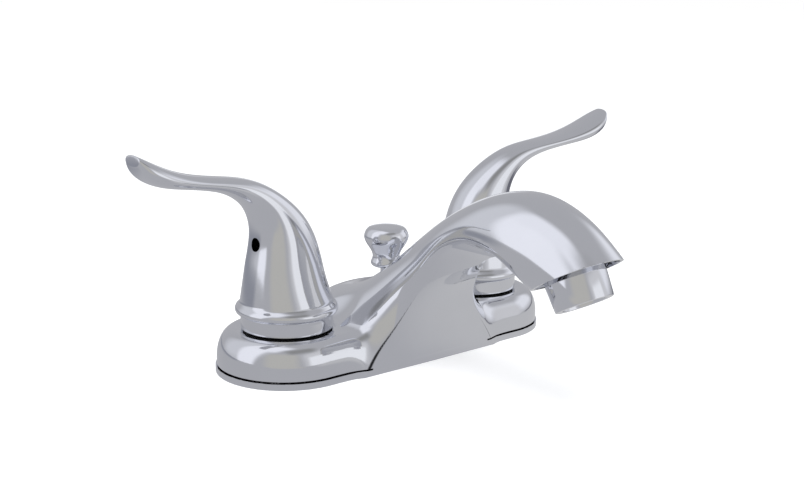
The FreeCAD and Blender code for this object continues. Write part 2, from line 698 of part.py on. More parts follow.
def set_screw():
    screw = set_screw_hole(SET_SCREW_RADIUS, STEM_RADIUS, SET_SCREW_LENGTH)
    socket_start = STEM_RADIUS + SET_SCREW_LENGTH - SET_SCREW_SOCKET_DEPTH
    return screw.cut(set_screw_hole(SET_SCREW_SOCKET, socket_start, SET_SCREW_SOCKET_DEPTH + CUT_MARGIN))


def aerator_housing():
    seat = -RIM_RECESS
    thread = outlet_solid(AERATOR_THREAD_RADIUS, seat - AERATOR_THREAD_LENGTH + WASHER_THICKNESS, seat)
    skirt = outlet_solid(AERATOR_RADIUS, seat, AERATOR_DROP)
    body = thread.fuse(skirt)
    bore = outlet_solid(AERATOR_BORE_RADIUS, seat - AERATOR_THREAD_LENGTH, AERATOR_DROP + CUT_MARGIN)
    return body.cut(bore)


def aerator_washer():
    end = -RIM_RECESS - AERATOR_THREAD_LENGTH
    return outlet_tube(AERATOR_THREAD_RADIUS, CHAMBER_RADIUS, end, end + WASHER_THICKNESS)


def aerator_screen():
    end = AERATOR_DROP - SCREEN_RECESS
    screen = outlet_solid(AERATOR_BORE_RADIUS - SEAT_FIT, end - SCREEN_THICKNESS, end)
    axis = outlet_axis()
    middle = outlet_centre() + axis * (end - SCREEN_THICKNESS - CUT_MARGIN)
    pitch = (AERATOR_BORE_RADIUS - CUT_MARGIN) / (SCREEN_RINGS + 1)
    holes = [Part.makeCylinder(SCREEN_HOLE_RADIUS, SCREEN_THICKNESS + 2 * CUT_MARGIN, middle, axis)]
    for ring in range(1, SCREEN_RINGS + 1):
        for k in range(6 * ring):
            hole = holes[0].copy()
            hole.translate(along_x * (pitch * ring))
            hole.rotate(middle, axis, 60 / ring * k)
            holes.append(hole)
    return screen.cut(holes)


def rod_guide():
    return tube(GUIDE_RADIUS, ROD_RADIUS + RUNNING_FIT, GUIDE_FOOT, GUIDE_TOP)


def lift_rod():
    # A shallow groove marks the plain lower end that the drain's strap grips.
    top = KNOB_FOOT + KNOB_SOCKET_DEPTH
    bottom = top - ROD_LENGTH
    groove_foot = bottom + ROD_GRIP_LENGTH
    groove = tube(ROD_RADIUS + CUT_MARGIN, ROD_RADIUS - ROD_GROOVE_DEPTH, groove_foot,
                  groove_foot + ROD_GROOVE_WIDTH)
    return rod(ROD_RADIUS, bottom, top).cut(groove)


def lift_knob():
    knob = turned([(radius, KNOB_FOOT + rise) for radius, rise in KNOB_OUTLINE])
    return knob.cut(rod(ROD_RADIUS + SEAT_FIT, KNOB_FOOT - CUT_MARGIN, KNOB_FOOT + KNOB_SOCKET_DEPTH))


def main():
    os.makedirs("parts", exist_ok=True)
    save("spout_body", spout_body())
    save("base_plate", base_plate())
    save("spout_tube", spout_tube())
    save("waterway_manifold", manifold())
    save("aerator_housing", aerator_housing())
    save("aerator_screen", aerator_screen())
    save("aerator_washer", aerator_washer())
    save("lift_rod_guide", rod_guide())
    save("lift_rod", lift_rod())
    save("lift_knob", lift_knob())
    for name, side, angle in (("left", -1, LEFT_LEVER_ANGLE), ("right", 1, RIGHT_LEVER_ANGLE)):
        save(name + "_valve_body", at_handle(valve_body(side), side))
        save(name + "_seat_seal", at_handle(seat_seal(), side))
        save(name + "_fixed_disc", at_handle(fixed_disc(), side))
        save(name + "_cartridge", at_handle(cartridge(), side))
        save(name + "_bonnet_nut", at_handle(bonnet_nut(), side))
        save(name + "_shell_nut", at_handle(shell_nut(), side))
        save(name + "_trim_ring", at_handle(trim_ring(), side))
        save(name + "_fixing_washer", at_handle(fixing_washer(), side))
        save(name + "_fixing_nut", at_handle(fixing_nut(), side))
        save(name + "_moving_disc", turned_to(moving_disc(), side, angle))
        save(name + "_stem", turned_to(stem(), side, angle))
        save(name + "_stem_seal", turned_to(stem_seal(), side, angle))
        save(name + "_handle", turned_to(handle(), side, angle))
        save(name + "_handle_insert", turned_to(handle_insert(), side, angle))
        save(name + "_set_screw", turned_to(set_screw(), side, angle))


main()
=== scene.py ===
import contextlib
import json
import math

import bmesh
import bpy
import numpy as np
from mathutils import Matrix, Vector


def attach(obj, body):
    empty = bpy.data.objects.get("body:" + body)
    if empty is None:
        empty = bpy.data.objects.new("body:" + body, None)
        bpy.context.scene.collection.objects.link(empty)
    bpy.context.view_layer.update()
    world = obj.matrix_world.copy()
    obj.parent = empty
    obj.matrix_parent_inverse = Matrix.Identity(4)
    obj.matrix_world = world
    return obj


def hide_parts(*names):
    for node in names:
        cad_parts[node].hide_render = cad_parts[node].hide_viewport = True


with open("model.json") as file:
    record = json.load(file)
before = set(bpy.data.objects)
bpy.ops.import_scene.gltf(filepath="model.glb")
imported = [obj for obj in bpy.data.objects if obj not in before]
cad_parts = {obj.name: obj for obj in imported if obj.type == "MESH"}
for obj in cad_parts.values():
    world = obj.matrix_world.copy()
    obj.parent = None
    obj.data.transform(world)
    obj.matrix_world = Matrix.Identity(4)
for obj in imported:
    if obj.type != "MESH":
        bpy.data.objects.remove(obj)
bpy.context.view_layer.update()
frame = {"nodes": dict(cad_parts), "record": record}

# Two-handle basin faucet in polished chrome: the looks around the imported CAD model. Shapes are worked
# out in millimetres, in the CAD model's frame, and become metres when their meshes are made.

bl_info = {
    "name": "Basin faucet",
    "version": (1, 0, 0),
    "blender": (4, 5, 0),
    "location": "View3D > Sidebar > Faucet",
    "description": "Builds the chrome body, levers, aerator, lift knob and studio of a basin faucet",
    "category": "Object",
}

# Metres in a millimetre, the least value that something is divided by, and the sides' signs along X
MM = 0.001
TINY = 1e-3
SIDES = {"left": -1, "right": 1}

# Deck plate, its lip with the groove above it, and the crown that carries the spout
HALF_SPACING = 50.8
SHOULDER_WIDTH = 7.2
SHOULDER_DEPTH = 12.0
SHOULDER_POWER = 2.25
LIP_OVERHANG = 0.5
LIP_HEIGHT = 2.6
LIP_FLARE = 0.8
LIP_FLARE_RUN = 3.0
FRONT_BULGE = 1.7
FRONT_BULGE_HALF = 42.0
GROOVE_HEIGHT = 0.7
GROOVE_DEPTH = 2.0
GROOVE_FRONT_HALF = 31.0
CROWN_HALF = (38.0, 40.0, 23.0)
CROWN_BASE = 4.0
CROWN_TOP = 27.0

# Painted shade and reflection: how near the groove's walls a point gets painted shade, how near the
# crease beside the facet it gets a painted dark reflection, how much weaker that is on the right, and
# how the crease's painted reflection fades with its height.
GROOVE_SHADE_EDGE = 0.12
CREASE_REFLECTION_WIDTH = 1.5
CREASE_REFLECTION_RISE = ((8.0, 36.0), (1.0, 0.7))
FAR_CREASE_REFLECTION = 0.8

# Seats, holes and the hollow inside
HOLLOW_WALL = 3.0
HOLLOW_SHOULDER = (6.0, 9.0)
VALVE_HOLE_RADIUS = 13.2
LAND_RADIUS = 19.4
LAND_SLOPE = 0.4
LAND_CURVE = 0.06
LAND_FILLET = 1.5
LAND_RISE = 0.2
KNOB_SEAT_RADIUS = 6.8
KNOB_SEAT_HEIGHT = 30.6
ROD_HOLE_RADIUS = 2.75

# Spout: ridge and under line as shares of its reach beyond the deck plate and of its height, then the
# half widths at the crease and at the widest line, and the depths of the side band and of the belly.
SPOUT_FOOT = 28.0
SPOUT_REACH = 120.7
SPOUT_HEIGHT = 77.6
RIDGE_LINE = [(-0.523, 0.271), (-0.421, 0.321), (-0.332, 0.376), (-0.245, 0.438), (-0.152, 0.521),
              (-0.056, 0.615), (0.052, 0.713), (0.170, 0.812), (0.299, 0.905), (0.442, 0.982),
              (0.593, 1.005), (0.744, 0.967), (0.881, 0.889), (1.000, 0.771)]
UNDER_LINE = [(0.021, 0.000), (0.026, 0.116), (0.037, 0.200), (0.054, 0.280), (0.086, 0.369),
              (0.141, 0.454), (0.219, 0.528), (0.305, 0.590), (0.391, 0.622), (0.469, 0.634),
              (0.549, 0.629), (0.617, 0.613), (0.672, 0.594), (0.708, 0.577)]
CREASE_HALF = [32.8, 27.6, 23.4, 19.6, 16.4, 15.2, 15.0, 15.4, 15.8, 16.2, 16.0, 15.0, 13.6, 12.2]
SIDE_HALF = [40.0, 34.5, 29.5, 24.6, 20.6, 18.2, 17.4, 17.8, 18.4, 19.2, 19.2, 18.6, 17.6, 16.6]
BAND_DEPTH = [13.0, 11.5, 10.0, 8.6, 6.8, 5.0, 4.0, 3.5, 3.6, 4.0, 4.2, 5.0, 7.0, 13.0]
BELLY_DEPTH = [0.0, 0.0, 0.0, 0.0, 0.3, 1.5, 4.5, 7.3, 9.0, 9.3, 8.0, 5.6, 3.3, 2.2]
TOP_POWER = 2 / 0.9
BELLY_EDGE = 0.002
SPLINE_PULL = 0.7
LIP_ZONE = 35.0

# Columns of the spout's table of sections, and the grid of the middle plane that looks them up
RIDGE_Y, RIDGE_Z, UNDER_Y, UNDER_Z, CREASE, SIDE, BAND, BELLY = range(8)
TABLE_STEPS = 100
COARSE_STEP = 10
LOOKUP_LOW = (-126.0, -4.0)
LOOKUP_COUNT = (660, 360)
LOOKUP_PITCH = 0.25
LOOKUP_NUDGE = 0.01
LOOKUP_MOVE = 0.1

# Grid of the casting's mesh: stops along each axis and the cells between them, where they differ from
# the panel's cell size; then how it finds the surface and what it takes for a crease.
GRID_X = (0.0, 80.5)
GRID_Y = (-123.0, -88.0, 30.0)
GRID_Z = (-0.9, 2.3, 3.7, 80.0)
OUTLET_CELL = 0.66
LIP_CELL = 0.8
GROOVE_CELL = 0.28
GRID_PARTS = 12
SURFACE_SEARCHES = 4
EDGE_MARGIN = 0.02
CELL_PULL = 0.02
CREASE_COSINE = 0.985
NORMAL_STEP = 0.03
CREASE_NORMAL_STEP = 0.02
CREASE_INSET = 0.4

# Outlet at the spout's lip, and the aerator in it
OUTLET_SHARE = 0.43
RIM_WALL = 1.4
RIM_RECESS = 2.0
OUTLET_BORE = 9.65
OUTLET_BORE_DEPTH = 9.0
AERATOR_TOP_RADIUS = 11.6
AERATOR_FOOT_RADIUS = 10.9
AERATOR_DROP = 10.7
AERATOR_BORE = 8.4
AERATOR_EDGE = 0.5
EDGE_MOST = 0.4
AERATOR_GAP = 0.05
AERATOR_SINK = 0.02
GRATING_DEPTH = 1.7
GRATING_GAP = 0.1
GRATING_RING_POINTS = 64
GRATING_BAR_SIDES = 8

# Levers: outline seen from the front and half depth, heights above the foot
LEVER_FOOT = 18.5
INNER_LINE = [(-18.6, 9.8), (-15.3, 18.4), (-13.2, 27.0), (-10.7, 35.5), (-6.6, 42.9), (-0.8, 49.2),
              (5.9, 54.3), (12.8, 58.2), (20.3, 60.7), (28.2, 62.0), (36.5, 63.2), (44.8, 64.9),
              (52.6, 67.4), (59.3, 70.4), (64.0, 72.8), (66.5, 74.0)]
OUTER_LINE = [(18.6, 9.8), (17.5, 17.6), (16.3, 25.1), (15.0, 32.0), (14.5, 38.0), (15.6, 43.2),
              (17.9, 47.8), (21.5, 51.4), (26.2, 54.4), (31.9, 56.6), (38.6, 58.2), (46.3, 59.5),
              (54.0, 60.7), (60.2, 62.6), (64.8, 65.9), (66.8, 69.8)]
HALF_DEPTH = [18.3, 15.8, 14.0, 12.6, 11.3, 10.0, 8.9, 7.9, 7.3, 7.2, 7.6, 8.2, 8.8, 8.8, 7.4, 4.8]
LEVER_ROUNDNESS = 0.91
FOOT_OUTLINE = [(17.46, -1.0), (18.1, -1.0), (18.3, -0.8), (18.3, 4.2), (18.5, 4.7), (19.3, 5.1),
                (20.1, 5.6), (20.4, 6.2), (20.4, 7.1), (20.1, 7.9), (19.4, 8.6), (18.8, 9.3)]
CAVITY_OUTLINE = [(6.2, 39.5), (6.2, 27.5), (7.8, 27.5), (10.0, 25.3), (16.1, 9.8), (16.6, 7.3),
                  (16.6, 0.6), (17.46, 0.3), (17.46, -0.9)]
FOOT_SPACING = 1.2
CAVITY_SPACING = 3.0
TIP_RINGS = 6
TIP_BULGE = 0.35
TIP_LEAN = 0.75
SCREW_HOLE_HEIGHT = 34.0
SCREW_HOLE_RADIUS = 2.6
SCREW_HOLE_DEPTH = 6.0
SCREW_HOLE_SIDE = 8.0

# Lift knob, as radius and height above its foot, and how turned pieces are divided
KNOB_FOOT = 33.9
KNOB_OUTLINE = [(2.6, 0.0), (4.6, 0.0), (5.8, 0.5), (6.4, 1.3), (6.4, 2.2), (6.1, 3.0), (5.7, 4.0),
                (5.7, 5.2), (6.2, 6.6), (7.0, 8.0), (8.0, 9.5), (8.8, 10.9), (9.2, 12.2), (9.3, 13.3),
                (8.9, 14.6), (8.3, 15.7), (7.4, 16.5), (6.2, 16.9), (3.0, 17.0), (0.0, 17.0)]
KNOB_RINGS = 110
TURNED_POINTS = 128
AXIS_RADIUS = 0.02

# Shank threads
SHANK_RADIUS = 10.4
THREAD_FOOT = -49.0
THREAD_TOP = -1.5
THREAD_SINK = 0.45
THREAD_POINTS = 36
THREAD_SIDES = 4

# Angles, in degrees, past which an edge is shaded sharp
LEVER_SHARP = 38
TURNED_SHARP = 50
THREAD_SHARP = 30

# Finishes. A noise is its scale and detail. The chrome and the metals have a roughness and its spread,
# the grain's scale and depth, and how much the tone darkens in places; mouldings have a colour, a
# roughness, the grain's scale and depth, and a gloss.
NOISE_RANGE = (0.3, 0.7)
METAL_CLOUDS, METAL_POLISH, METAL_GRAIN_DETAIL, METAL_BUMP = (38, 4), (140, 6), 3, 0.25
MOULDED_CLOUDS, MOULDED_POLISH, MOULDED_GRAIN_DETAIL, MOULDED_BUMP = (60, 4), (300, 5), 2, 0.3
MOULDED_PALER = (1.12, 0.004)
MOULDED_SPREAD = (0.85, 1.15)
CHROME_SURFACE = (0.02, 900, 0.000004, 0.04)
METALS = {"brass": (0.30, 0.08, 1400, 0.00003, 0.25), "copper": (0.28, 0.08, 700, 0.00003, 0.35),
          "steel": (0.45, 0.08, 1600, 0.00003, 0.2)}
MOULDINGS = {"black plastic": ((0.010, 0.010, 0.010), 0.55, 1800, 0.00004, 0.12),
             "white plastic": ((0.78, 0.78, 0.75), 0.42, 1500, 0.00003, 0.45),
             "black rubber": ((0.018, 0.018, 0.018), 0.75, 2400, 0.00005, 0.3),
             "ceramic": ((0.86, 0.85, 0.82), 0.16, 2600, 0.00001, 0.6)}
# Painted shade: the attribute's range over which the chrome darkens, and the dark colour that stands for
# shade in the groove and set screw hole and for a dark reflection along the crease
PAINTED_SHADE_RANGE = (0.72, 0.90)
PAINTED_SHADE_COLOUR = (0.03, 0.03, 0.034)

# Soft cards of the studio, the later ones in front: azimuth, elevation, half width, half height, edge
# softness and colour. Sizes are tangents of angles seen from the middle.
STUDIO_CARDS = [
    (-45, 8, 0.50, 0.70, 0.40, (0.53, 0.52, 0.49)),
    (62, -50, 1.10, 0.62, 0.55, (0.57, 0.57, 0.58)),
    (-128, 38, 0.75, 0.80, 0.70, (0.68, 0.69, 0.73)),
    (-107, 36, 0.32, 0.78, 0.22, (0.96, 0.97, 1.03)),
    (-92, 70, 0.35, 0.32, 0.30, (0.92, 0.93, 0.99)),
    (26, 12, 0.62, 0.52, 0.45, (0.68, 0.68, 0.70)),
    (20, 6, 0.34, 0.32, 0.16, (0.93, 0.94, 0.97)),
    (79, 20, 0.40, 0.30, 0.34, (0.88, 0.89, 0.94)),
    (140, -3, 0.10, 0.22, 0.10, (0.85, 0.86, 0.90)),
    (124, -41, 0.13, 0.11, 0.10, (0.80, 0.81, 0.84)),
    (-150, -16, 0.56, 0.18, 0.30, (0.30, 0.31, 0.35)),
    (155, -40, 0.30, 0.32, 0.30, (0.32, 0.32, 0.35)),
    (95, -20, 0.42, 0.10, 0.12, (0.16, 0.16, 0.19)),
    (-5, 54, 0.36, 0.19, 0.30, (0.30, 0.30, 0.30)),
]

# Stage, in metres; the camera's sensor width is in millimetres
SENSOR_WIDTH = 36
CLIP_START = 0.01
STUDIO_MIDDLE = (0, -0.03, 0.11)
DOME_RADIUS = 3.5
DOME_SPLITS = 5
FLOOR_RADIUS = 3.0
FLOOR_SIDES = 96
FLOOR_HEIGHT = 0.00003
FLOOR_GLOW = 0.5
FLOOR_CLOUDS = (3, 2)
FLOOR_TONE = 0.985
FLOOR_ROUGHNESS = 0.9
FLOOR_GLOSS = 0.1
LAMP_SIZE = 0.9
LAMP_ENERGY = 6.5
LAMP_PLACE = (-0.25, -0.35, 1.1)
LAMP_TURN = (-18, -13, 0)
WORLD_COLOUR = (0.96, 0.98, 1.0, 1)
WORLD_STRENGTH = 0.62
WHITE = (1, 1, 1, 1)


# Shapes of the casting

def smoothed(values, shares):
    """Cubic B-spline that runs close to the values or points without their small waves, at the given
    places, counted in values."""
    values = np.asarray(values, float)
    inner = (values[:-2] + 4 * values[1:-1] + values[2:]) / 6
    controls = values.copy()
    controls[1:-1] += SPLINE_PULL * (values[1:-1] - inner)
    padded = np.concatenate([[2 * controls[0] - controls[1]], controls,
                             [2 * controls[-1] - controls[-2]]])
    start = np.clip(np.floor(shares).astype(int), 0, len(controls) - 2)
    t = shares - start
    weights = [(1 - t) ** 3, 3 * t ** 3 - 6 * t ** 2 + 4, -3 * t ** 3 + 3 * t ** 2 + 3 * t + 1, t ** 3]
    return sum((w * padded[start + k].T).T for k, w in enumerate(weights)) / 6


def smooth_union(a, b, reach):
    """Union of two distance fields with a fillet of about that reach."""
    near = np.maximum(reach - np.abs(a - b), 0) / reach
    return np.minimum(a, b) - near ** 3 * reach / 6


def ellipse_gap(a, b, wide, high, power):
    """Distance from a full-bodied ellipse, from a point's shares of the two half axes."""
    size = np.maximum((a ** power + b ** power) ** (1 / power), TINY)
    growth = np.hypot(a ** (power - 1) / wide, b ** (power - 1) / high)
    return (size - 1) / np.maximum(growth * size ** (1 - power), TINY)


def rounded_top(flat, lift, wide, high):
    """Upright wall and flat top joined by a quarter of a full-bodied ellipse."""
    a, b = np.maximum(flat / wide + 1, 0), np.maximum(lift / high + 1, 0)
    return np.where((a > 0) & (b > 0), ellipse_gap(a, b, wide, high, SHOULDER_POWER),
                    np.maximum(flat, lift))


class SpoutFan:
    """The spout's sections: planes through X, fanned from the deck plate to the lip."""

    def __init__(self):
        run = SPOUT_REACH - SPOUT_FOOT
        ridge, under = (np.array(line) * (-run, SPOUT_HEIGHT) - (SPOUT_FOOT, 0)
                        for line in (RIDGE_LINE, UNDER_LINE))
        sizes = np.column_stack([ridge, under, CREASE_HALF, SIDE_HALF, BAND_DEPTH, BELLY_DEPTH])
        self.last = len(sizes) - 1
        self.table = smoothed(sizes, np.linspace(0, self.last, self.last * TABLE_STEPS + 1))
        self.table[:, BELLY] = np.maximum(self.table[:, BELLY], 0)
        foot, tip = self.table[-1, [UNDER_Y, UNDER_Z]], self.table[-1, [RIDGE_Y, RIDGE_Z]]
        self.outlet = foot + (tip - foot) * OUTLET_SHARE
        self.lip_along = (tip - foot) / np.hypot(*(tip - foot))

    def rows(self, share):
        """The sizes of the section at each share, one row each."""
        place = share * TABLE_STEPS
        start = np.minimum(place.astype(int), len(self.table) - 2)
        t = (place - start)[..., None]
        return self.table[start] * (1 - t) + self.table[start + 1] * t

    @staticmethod
    def place_of(row, y, z):
        """How far a point lies beyond a section's plane, towards the deck plate; then its place up the
        section times the section's length, and that length."""
        rise_y, rise_z = row[..., RIDGE_Y] - row[..., UNDER_Y], row[..., RIDGE_Z] - row[..., UNDER_Z]
        off_y, off_z = y - row[..., UNDER_Y], z - row[..., UNDER_Z]
        length = np.hypot(rise_y, rise_z)
        return (off_y * rise_z - off_z * rise_y) / length, off_y * rise_y + off_z * rise_z, length

    def make_lookup(self):
        """Table of the section that holds each point of the middle plane."""
        z = LOOKUP_LOW[1] + LOOKUP_PITCH * np.arange(LOOKUP_COUNT[1])
        pick = np.arange(len(z))
        samples = self.table[None, ::COARSE_STEP]
        self.lookup = np.zeros(LOOKUP_COUNT)
        for i in range(LOOKUP_COUNT[0]):
            y = LOOKUP_LOW[0] + LOOKUP_PITCH * i
            gaps, along, length = self.place_of(samples, y, z[:, None])
            middle = np.abs(along / length ** 2 - 0.5)
            turns = (gaps[:, :-1] < 0) & (gaps[:, 1:] >= 0)
            best = np.argmin(np.where(turns, middle[:, :-1], np.inf), 1)
            before, after = gaps[pick, best], gaps[pick, best + 1]
            share = best + before / np.where(turns[pick, best], before - after, 1)
            share = share / (TABLE_STEPS / COARSE_STEP)
            missing = ~turns.any(1)
            beyond = (gaps[:, -1] < 0) & (z > LIP_ZONE)
            share = np.where(missing, np.where(beyond, self.last, 0), share)
            for _ in range(2):
                here, there = (self.place_of(self.rows(np.clip(share + nudge, 0, self.last)), y, z)[0]
                               for nudge in (0, LOOKUP_NUDGE))
                slope = np.where(np.abs(there - here) < 1e-9, 1, (there - here) / LOOKUP_NUDGE)
                move = np.clip(here / slope, -LOOKUP_MOVE, LOOKUP_MOVE)
                share = np.where(missing, share, np.clip(share - move, 0, self.last))
            self.lookup[i] = share

    def share_at(self, y, z):
        """The section that holds each point, read between the places of the table."""
        u, v = np.broadcast_arrays(*(
            np.clip((place - low) / LOOKUP_PITCH, 0, count - 1.001)
            for place, low, count in zip((y, z), LOOKUP_LOW, LOOKUP_COUNT)))
        i, j = u.astype(int), v.astype(int)
        s, t = u - i, v - j
        near = self.lookup[i, j] * (1 - t) + self.lookup[i, j + 1] * t
        far = self.lookup[i + 1, j] * (1 - t) + self.lookup[i + 1, j + 1] * t
        return near * (1 - s) + far * s


class BodyShell:
    """Distance field of the deck plate and spout as one casting, negative inside."""

    def __init__(self, settings):
        self.fan = SpoutFan()
        self.fan.make_lookup()
        self.radius = settings.deck_radius / MM - LIP_OVERHANG
        self.top = settings.deck_top / MM
        self.fillet = settings.fillet / MM
        self.crown_fillet = settings.crown_fillet / MM
        self.crease_sin = math.sin(settings.crease_angle)
        self.crease_cos = math.cos(settings.crease_angle)

    def side_gap(self, across, rise, row, height):
        """Distance from the spout's side and top within a section."""
        crease, side, band = row[..., CREASE], row[..., SIDE], row[..., BAND]
        width = side - crease
        depth = np.maximum((band - rise) / band, 0)
        inner = np.minimum(depth, 1)
        root = np.sqrt(1 - (inner * self.crease_sin) ** 2)
        bow = (root - self.crease_cos) / (1 - self.crease_cos)
        steep = self.crease_sin ** 2 / (self.crease_cos * (1 - self.crease_cos))
        bow = bow - steep * np.maximum(depth - 1, 0)
        slope = width / band * inner * self.crease_sin ** 2 / (root * (1 - self.crease_cos))
        low = (across - (crease + width * bow)) / np.sqrt(1 + slope ** 2)
        high = ellipse_gap(across / side, np.maximum(rise - band, 0) / (height - band), side,
                           height - band, TOP_POWER)
        return np.where(rise < band, low, high)

    def under_gap(self, across, rise, row):
        """Distance from the facet and the belly within a section."""
        crease, belly = row[..., CREASE], row[..., BELLY]
        part = across / crease
        root = np.sqrt(np.maximum(1 - part ** 2, BELLY_EDGE))
        slope = belly * part / (crease * root)
        hanging = (-belly * root - rise) / np.sqrt(1 + slope ** 2)
        return np.where(part < 1, hanging, -rise)

    def stadium(self, x, y):
        """Distance from the deck plate's outline in plan."""
        return np.hypot(np.maximum(np.abs(x) - HALF_SPACING, 0), y) - self.radius

    def deck_gap(self, x, y, z):
        """Distance from the deck plate with its crown."""
        flat = self.stadium(x, y)
        deck = rounded_top(flat, z - self.top, SHOULDER_WIDTH, SHOULDER_DEPTH)
        parts = [part / half for part, half in zip((x, y, z - CROWN_BASE), CROWN_HALF)]
        size = np.maximum(np.sqrt(sum(p ** 2 for p in parts)), TINY)
        growth = np.sqrt(sum((p / half) ** 2 for p, half in zip(parts, CROWN_HALF)))
        ball = (size - 1) / np.maximum(growth / size, TINY)
        tall = rounded_top(flat, z - CROWN_TOP, SHOULDER_WIDTH, SHOULDER_DEPTH)
        crown = -smooth_union(-ball, -tall, self.crown_fillet)
        return smooth_union(deck, crown, self.crown_fillet)

    def lip_gap(self, x, y, z):
        """Distance from the lip, which bulges a little at the front."""
        bulge = FRONT_BULGE * np.maximum(1 - (x / FRONT_BULGE_HALF) ** 2, 0) * (y < 0)
        return np.maximum(self.stadium(x, y) - LIP_OVERHANG - bulge, z - LIP_HEIGHT)

    def groove_gap(self, x, y, z):
        """Distance from the groove above the lip, which stops beside the facet."""
        middle = LIP_HEIGHT + GROOVE_HEIGHT / 2
        slot = np.maximum(np.abs(z - middle) - GROOVE_HEIGHT / 2, -self.stadium(x, y) - GROOVE_DEPTH)
        return np.maximum(slot, np.minimum(GROOVE_FRONT_HALF - np.abs(x), -y))

    def cuts(self, x, y, z):
        """Holes, seats and hollows, each positive outside itself."""
        handle = np.hypot(np.abs(x) - HALF_SPACING, y)
        centre = np.hypot(x, y)
        inside = rounded_top(self.stadium(x, y) + HOLLOW_WALL, z - self.top + HOLLOW_WALL,
                             *HOLLOW_SHOULDER)
        off_y, off_z = y - self.fan.outlet[0], z - self.fan.outlet[1]
        lip_y, lip_z = self.fan.lip_along
        bore = np.maximum(np.hypot(x, off_y * lip_y + off_z * lip_z) - OUTLET_BORE,
                          np.abs(-off_y * lip_z + off_z * lip_y) - OUTLET_BORE_DEPTH)
        return [inside,
                np.maximum(handle - VALVE_HOLE_RADIUS, self.top - 2 * HOLLOW_WALL - z),
                np.maximum(handle - LAND_RADIUS, self.top - z),
                np.maximum(centre - KNOB_SEAT_RADIUS, KNOB_SEAT_HEIGHT - z),
                centre - ROD_HOLE_RADIUS,
                bore]

    def surfaces(self, x, y, z):
        """The section's share, then the distances from the spout, from its facet and from the casting
        without the facet."""
        share = self.fan.share_at(y, z)
        row = self.fan.rows(share)
        _, along, length = self.fan.place_of(row, y, z)
        rise = along / length - row[..., BELLY]
        spout = self.side_gap(np.abs(x), rise, row, length - row[..., BELLY])
        behind = self.fan.place_of(self.fan.table[0], y, z)[0]
        spout = np.where(share < 0.5, np.maximum(spout, behind), spout)
        under = self.under_gap(np.abs(x), rise, row)
        whole = smooth_union(self.deck_gap(x, y, z), spout, self.fillet)
        off_land = np.maximum(np.hypot(np.abs(x) - HALF_SPACING, y) - LAND_RADIUS, 0)
        limit = self.top + LAND_RISE + LAND_SLOPE * off_land + LAND_CURVE * off_land ** 2
        rising = (z - limit) / np.hypot(1, LAND_SLOPE + 2 * LAND_CURVE * off_land)
        return share, spout, under, -smooth_union(-whole, -rising, LAND_FILLET)

    def gap(self, x, y, z):
        """Distance from the finished casting."""
        share, spout, under, whole = self.surfaces(x, y, z)
        whole = np.maximum(np.maximum(whole, under), -self.groove_gap(x, y, z))
        flare = np.clip((GROOVE_FRONT_HALF + 1 - np.abs(x)) / LIP_FLARE_RUN, 0, 1)
        flare = flare * (y < 0) * LIP_FLARE + TINY
        whole = smooth_union(whole, self.lip_gap(x, y, z), flare)
        beyond = -self.fan.place_of(self.fan.table[-1], y, z)[0]
        recess = np.maximum(np.maximum(spout, under) + RIM_WALL, -beyond - RIM_RECESS)
        cut_lip = np.maximum(np.maximum(whole, beyond), -recess)
        whole = np.where((share > self.fan.last - 1) & (z > LIP_ZONE), cut_lip, whole)
        for cut in self.cuts(x, y, z):
            whole = np.maximum(whole, -cut)
        return np.maximum(whole, -z)

    def seam(self, points):
        """How much painted shade the points get, from 0 to 1: painted shade in the groove, and a painted
        dark reflection along the crease beside the facet.
        """
        x, y, z = points.T
        under, outer = self.surfaces(x, y, z)[2:]
        crease = (1 - np.hypot(under, outer) / CREASE_REFLECTION_WIDTH) * np.where(x < 0, 1, FAR_CREASE_REFLECTION)
        crease = crease * np.interp(z, *CREASE_REFLECTION_RISE) * (z > LIP_HEIGHT)
        slot = np.minimum(GROOVE_SHADE_EDGE - self.groove_gap(x, y, z), -self.stadium(x, y) - GROOVE_SHADE_EDGE)
        return np.clip(np.maximum(crease, np.where(slot > 0, 1, 0)), 0, 1)

    def slope(self, points, step=NORMAL_STEP):
        """Unit normals of the field at the points."""
        normal = np.stack([self.gap(*(points + offset).T) - self.gap(*(points - offset).T)
                           for offset in np.eye(3) * step], 1)
        return normal / np.maximum(np.linalg.norm(normal, axis=1, keepdims=True), 1e-9)


def stepped(stops, steps):
    """Grid coordinates: from each stop to the next in equal steps of about the given size."""
    parts = [[stops[0]]]
    for start, end, step in zip(stops, stops[1:], steps):
        count = max(1, round((end - start) / step))
        parts.append(start + (end - start) * np.arange(1, count + 1) / count)
    return np.concatenate(parts)


def grid_points(axes, index):
    """Places of the grid's points, one row each, from their indices."""
    return np.stack([axis[places] for axis, places in zip(axes, index.T)], 1)


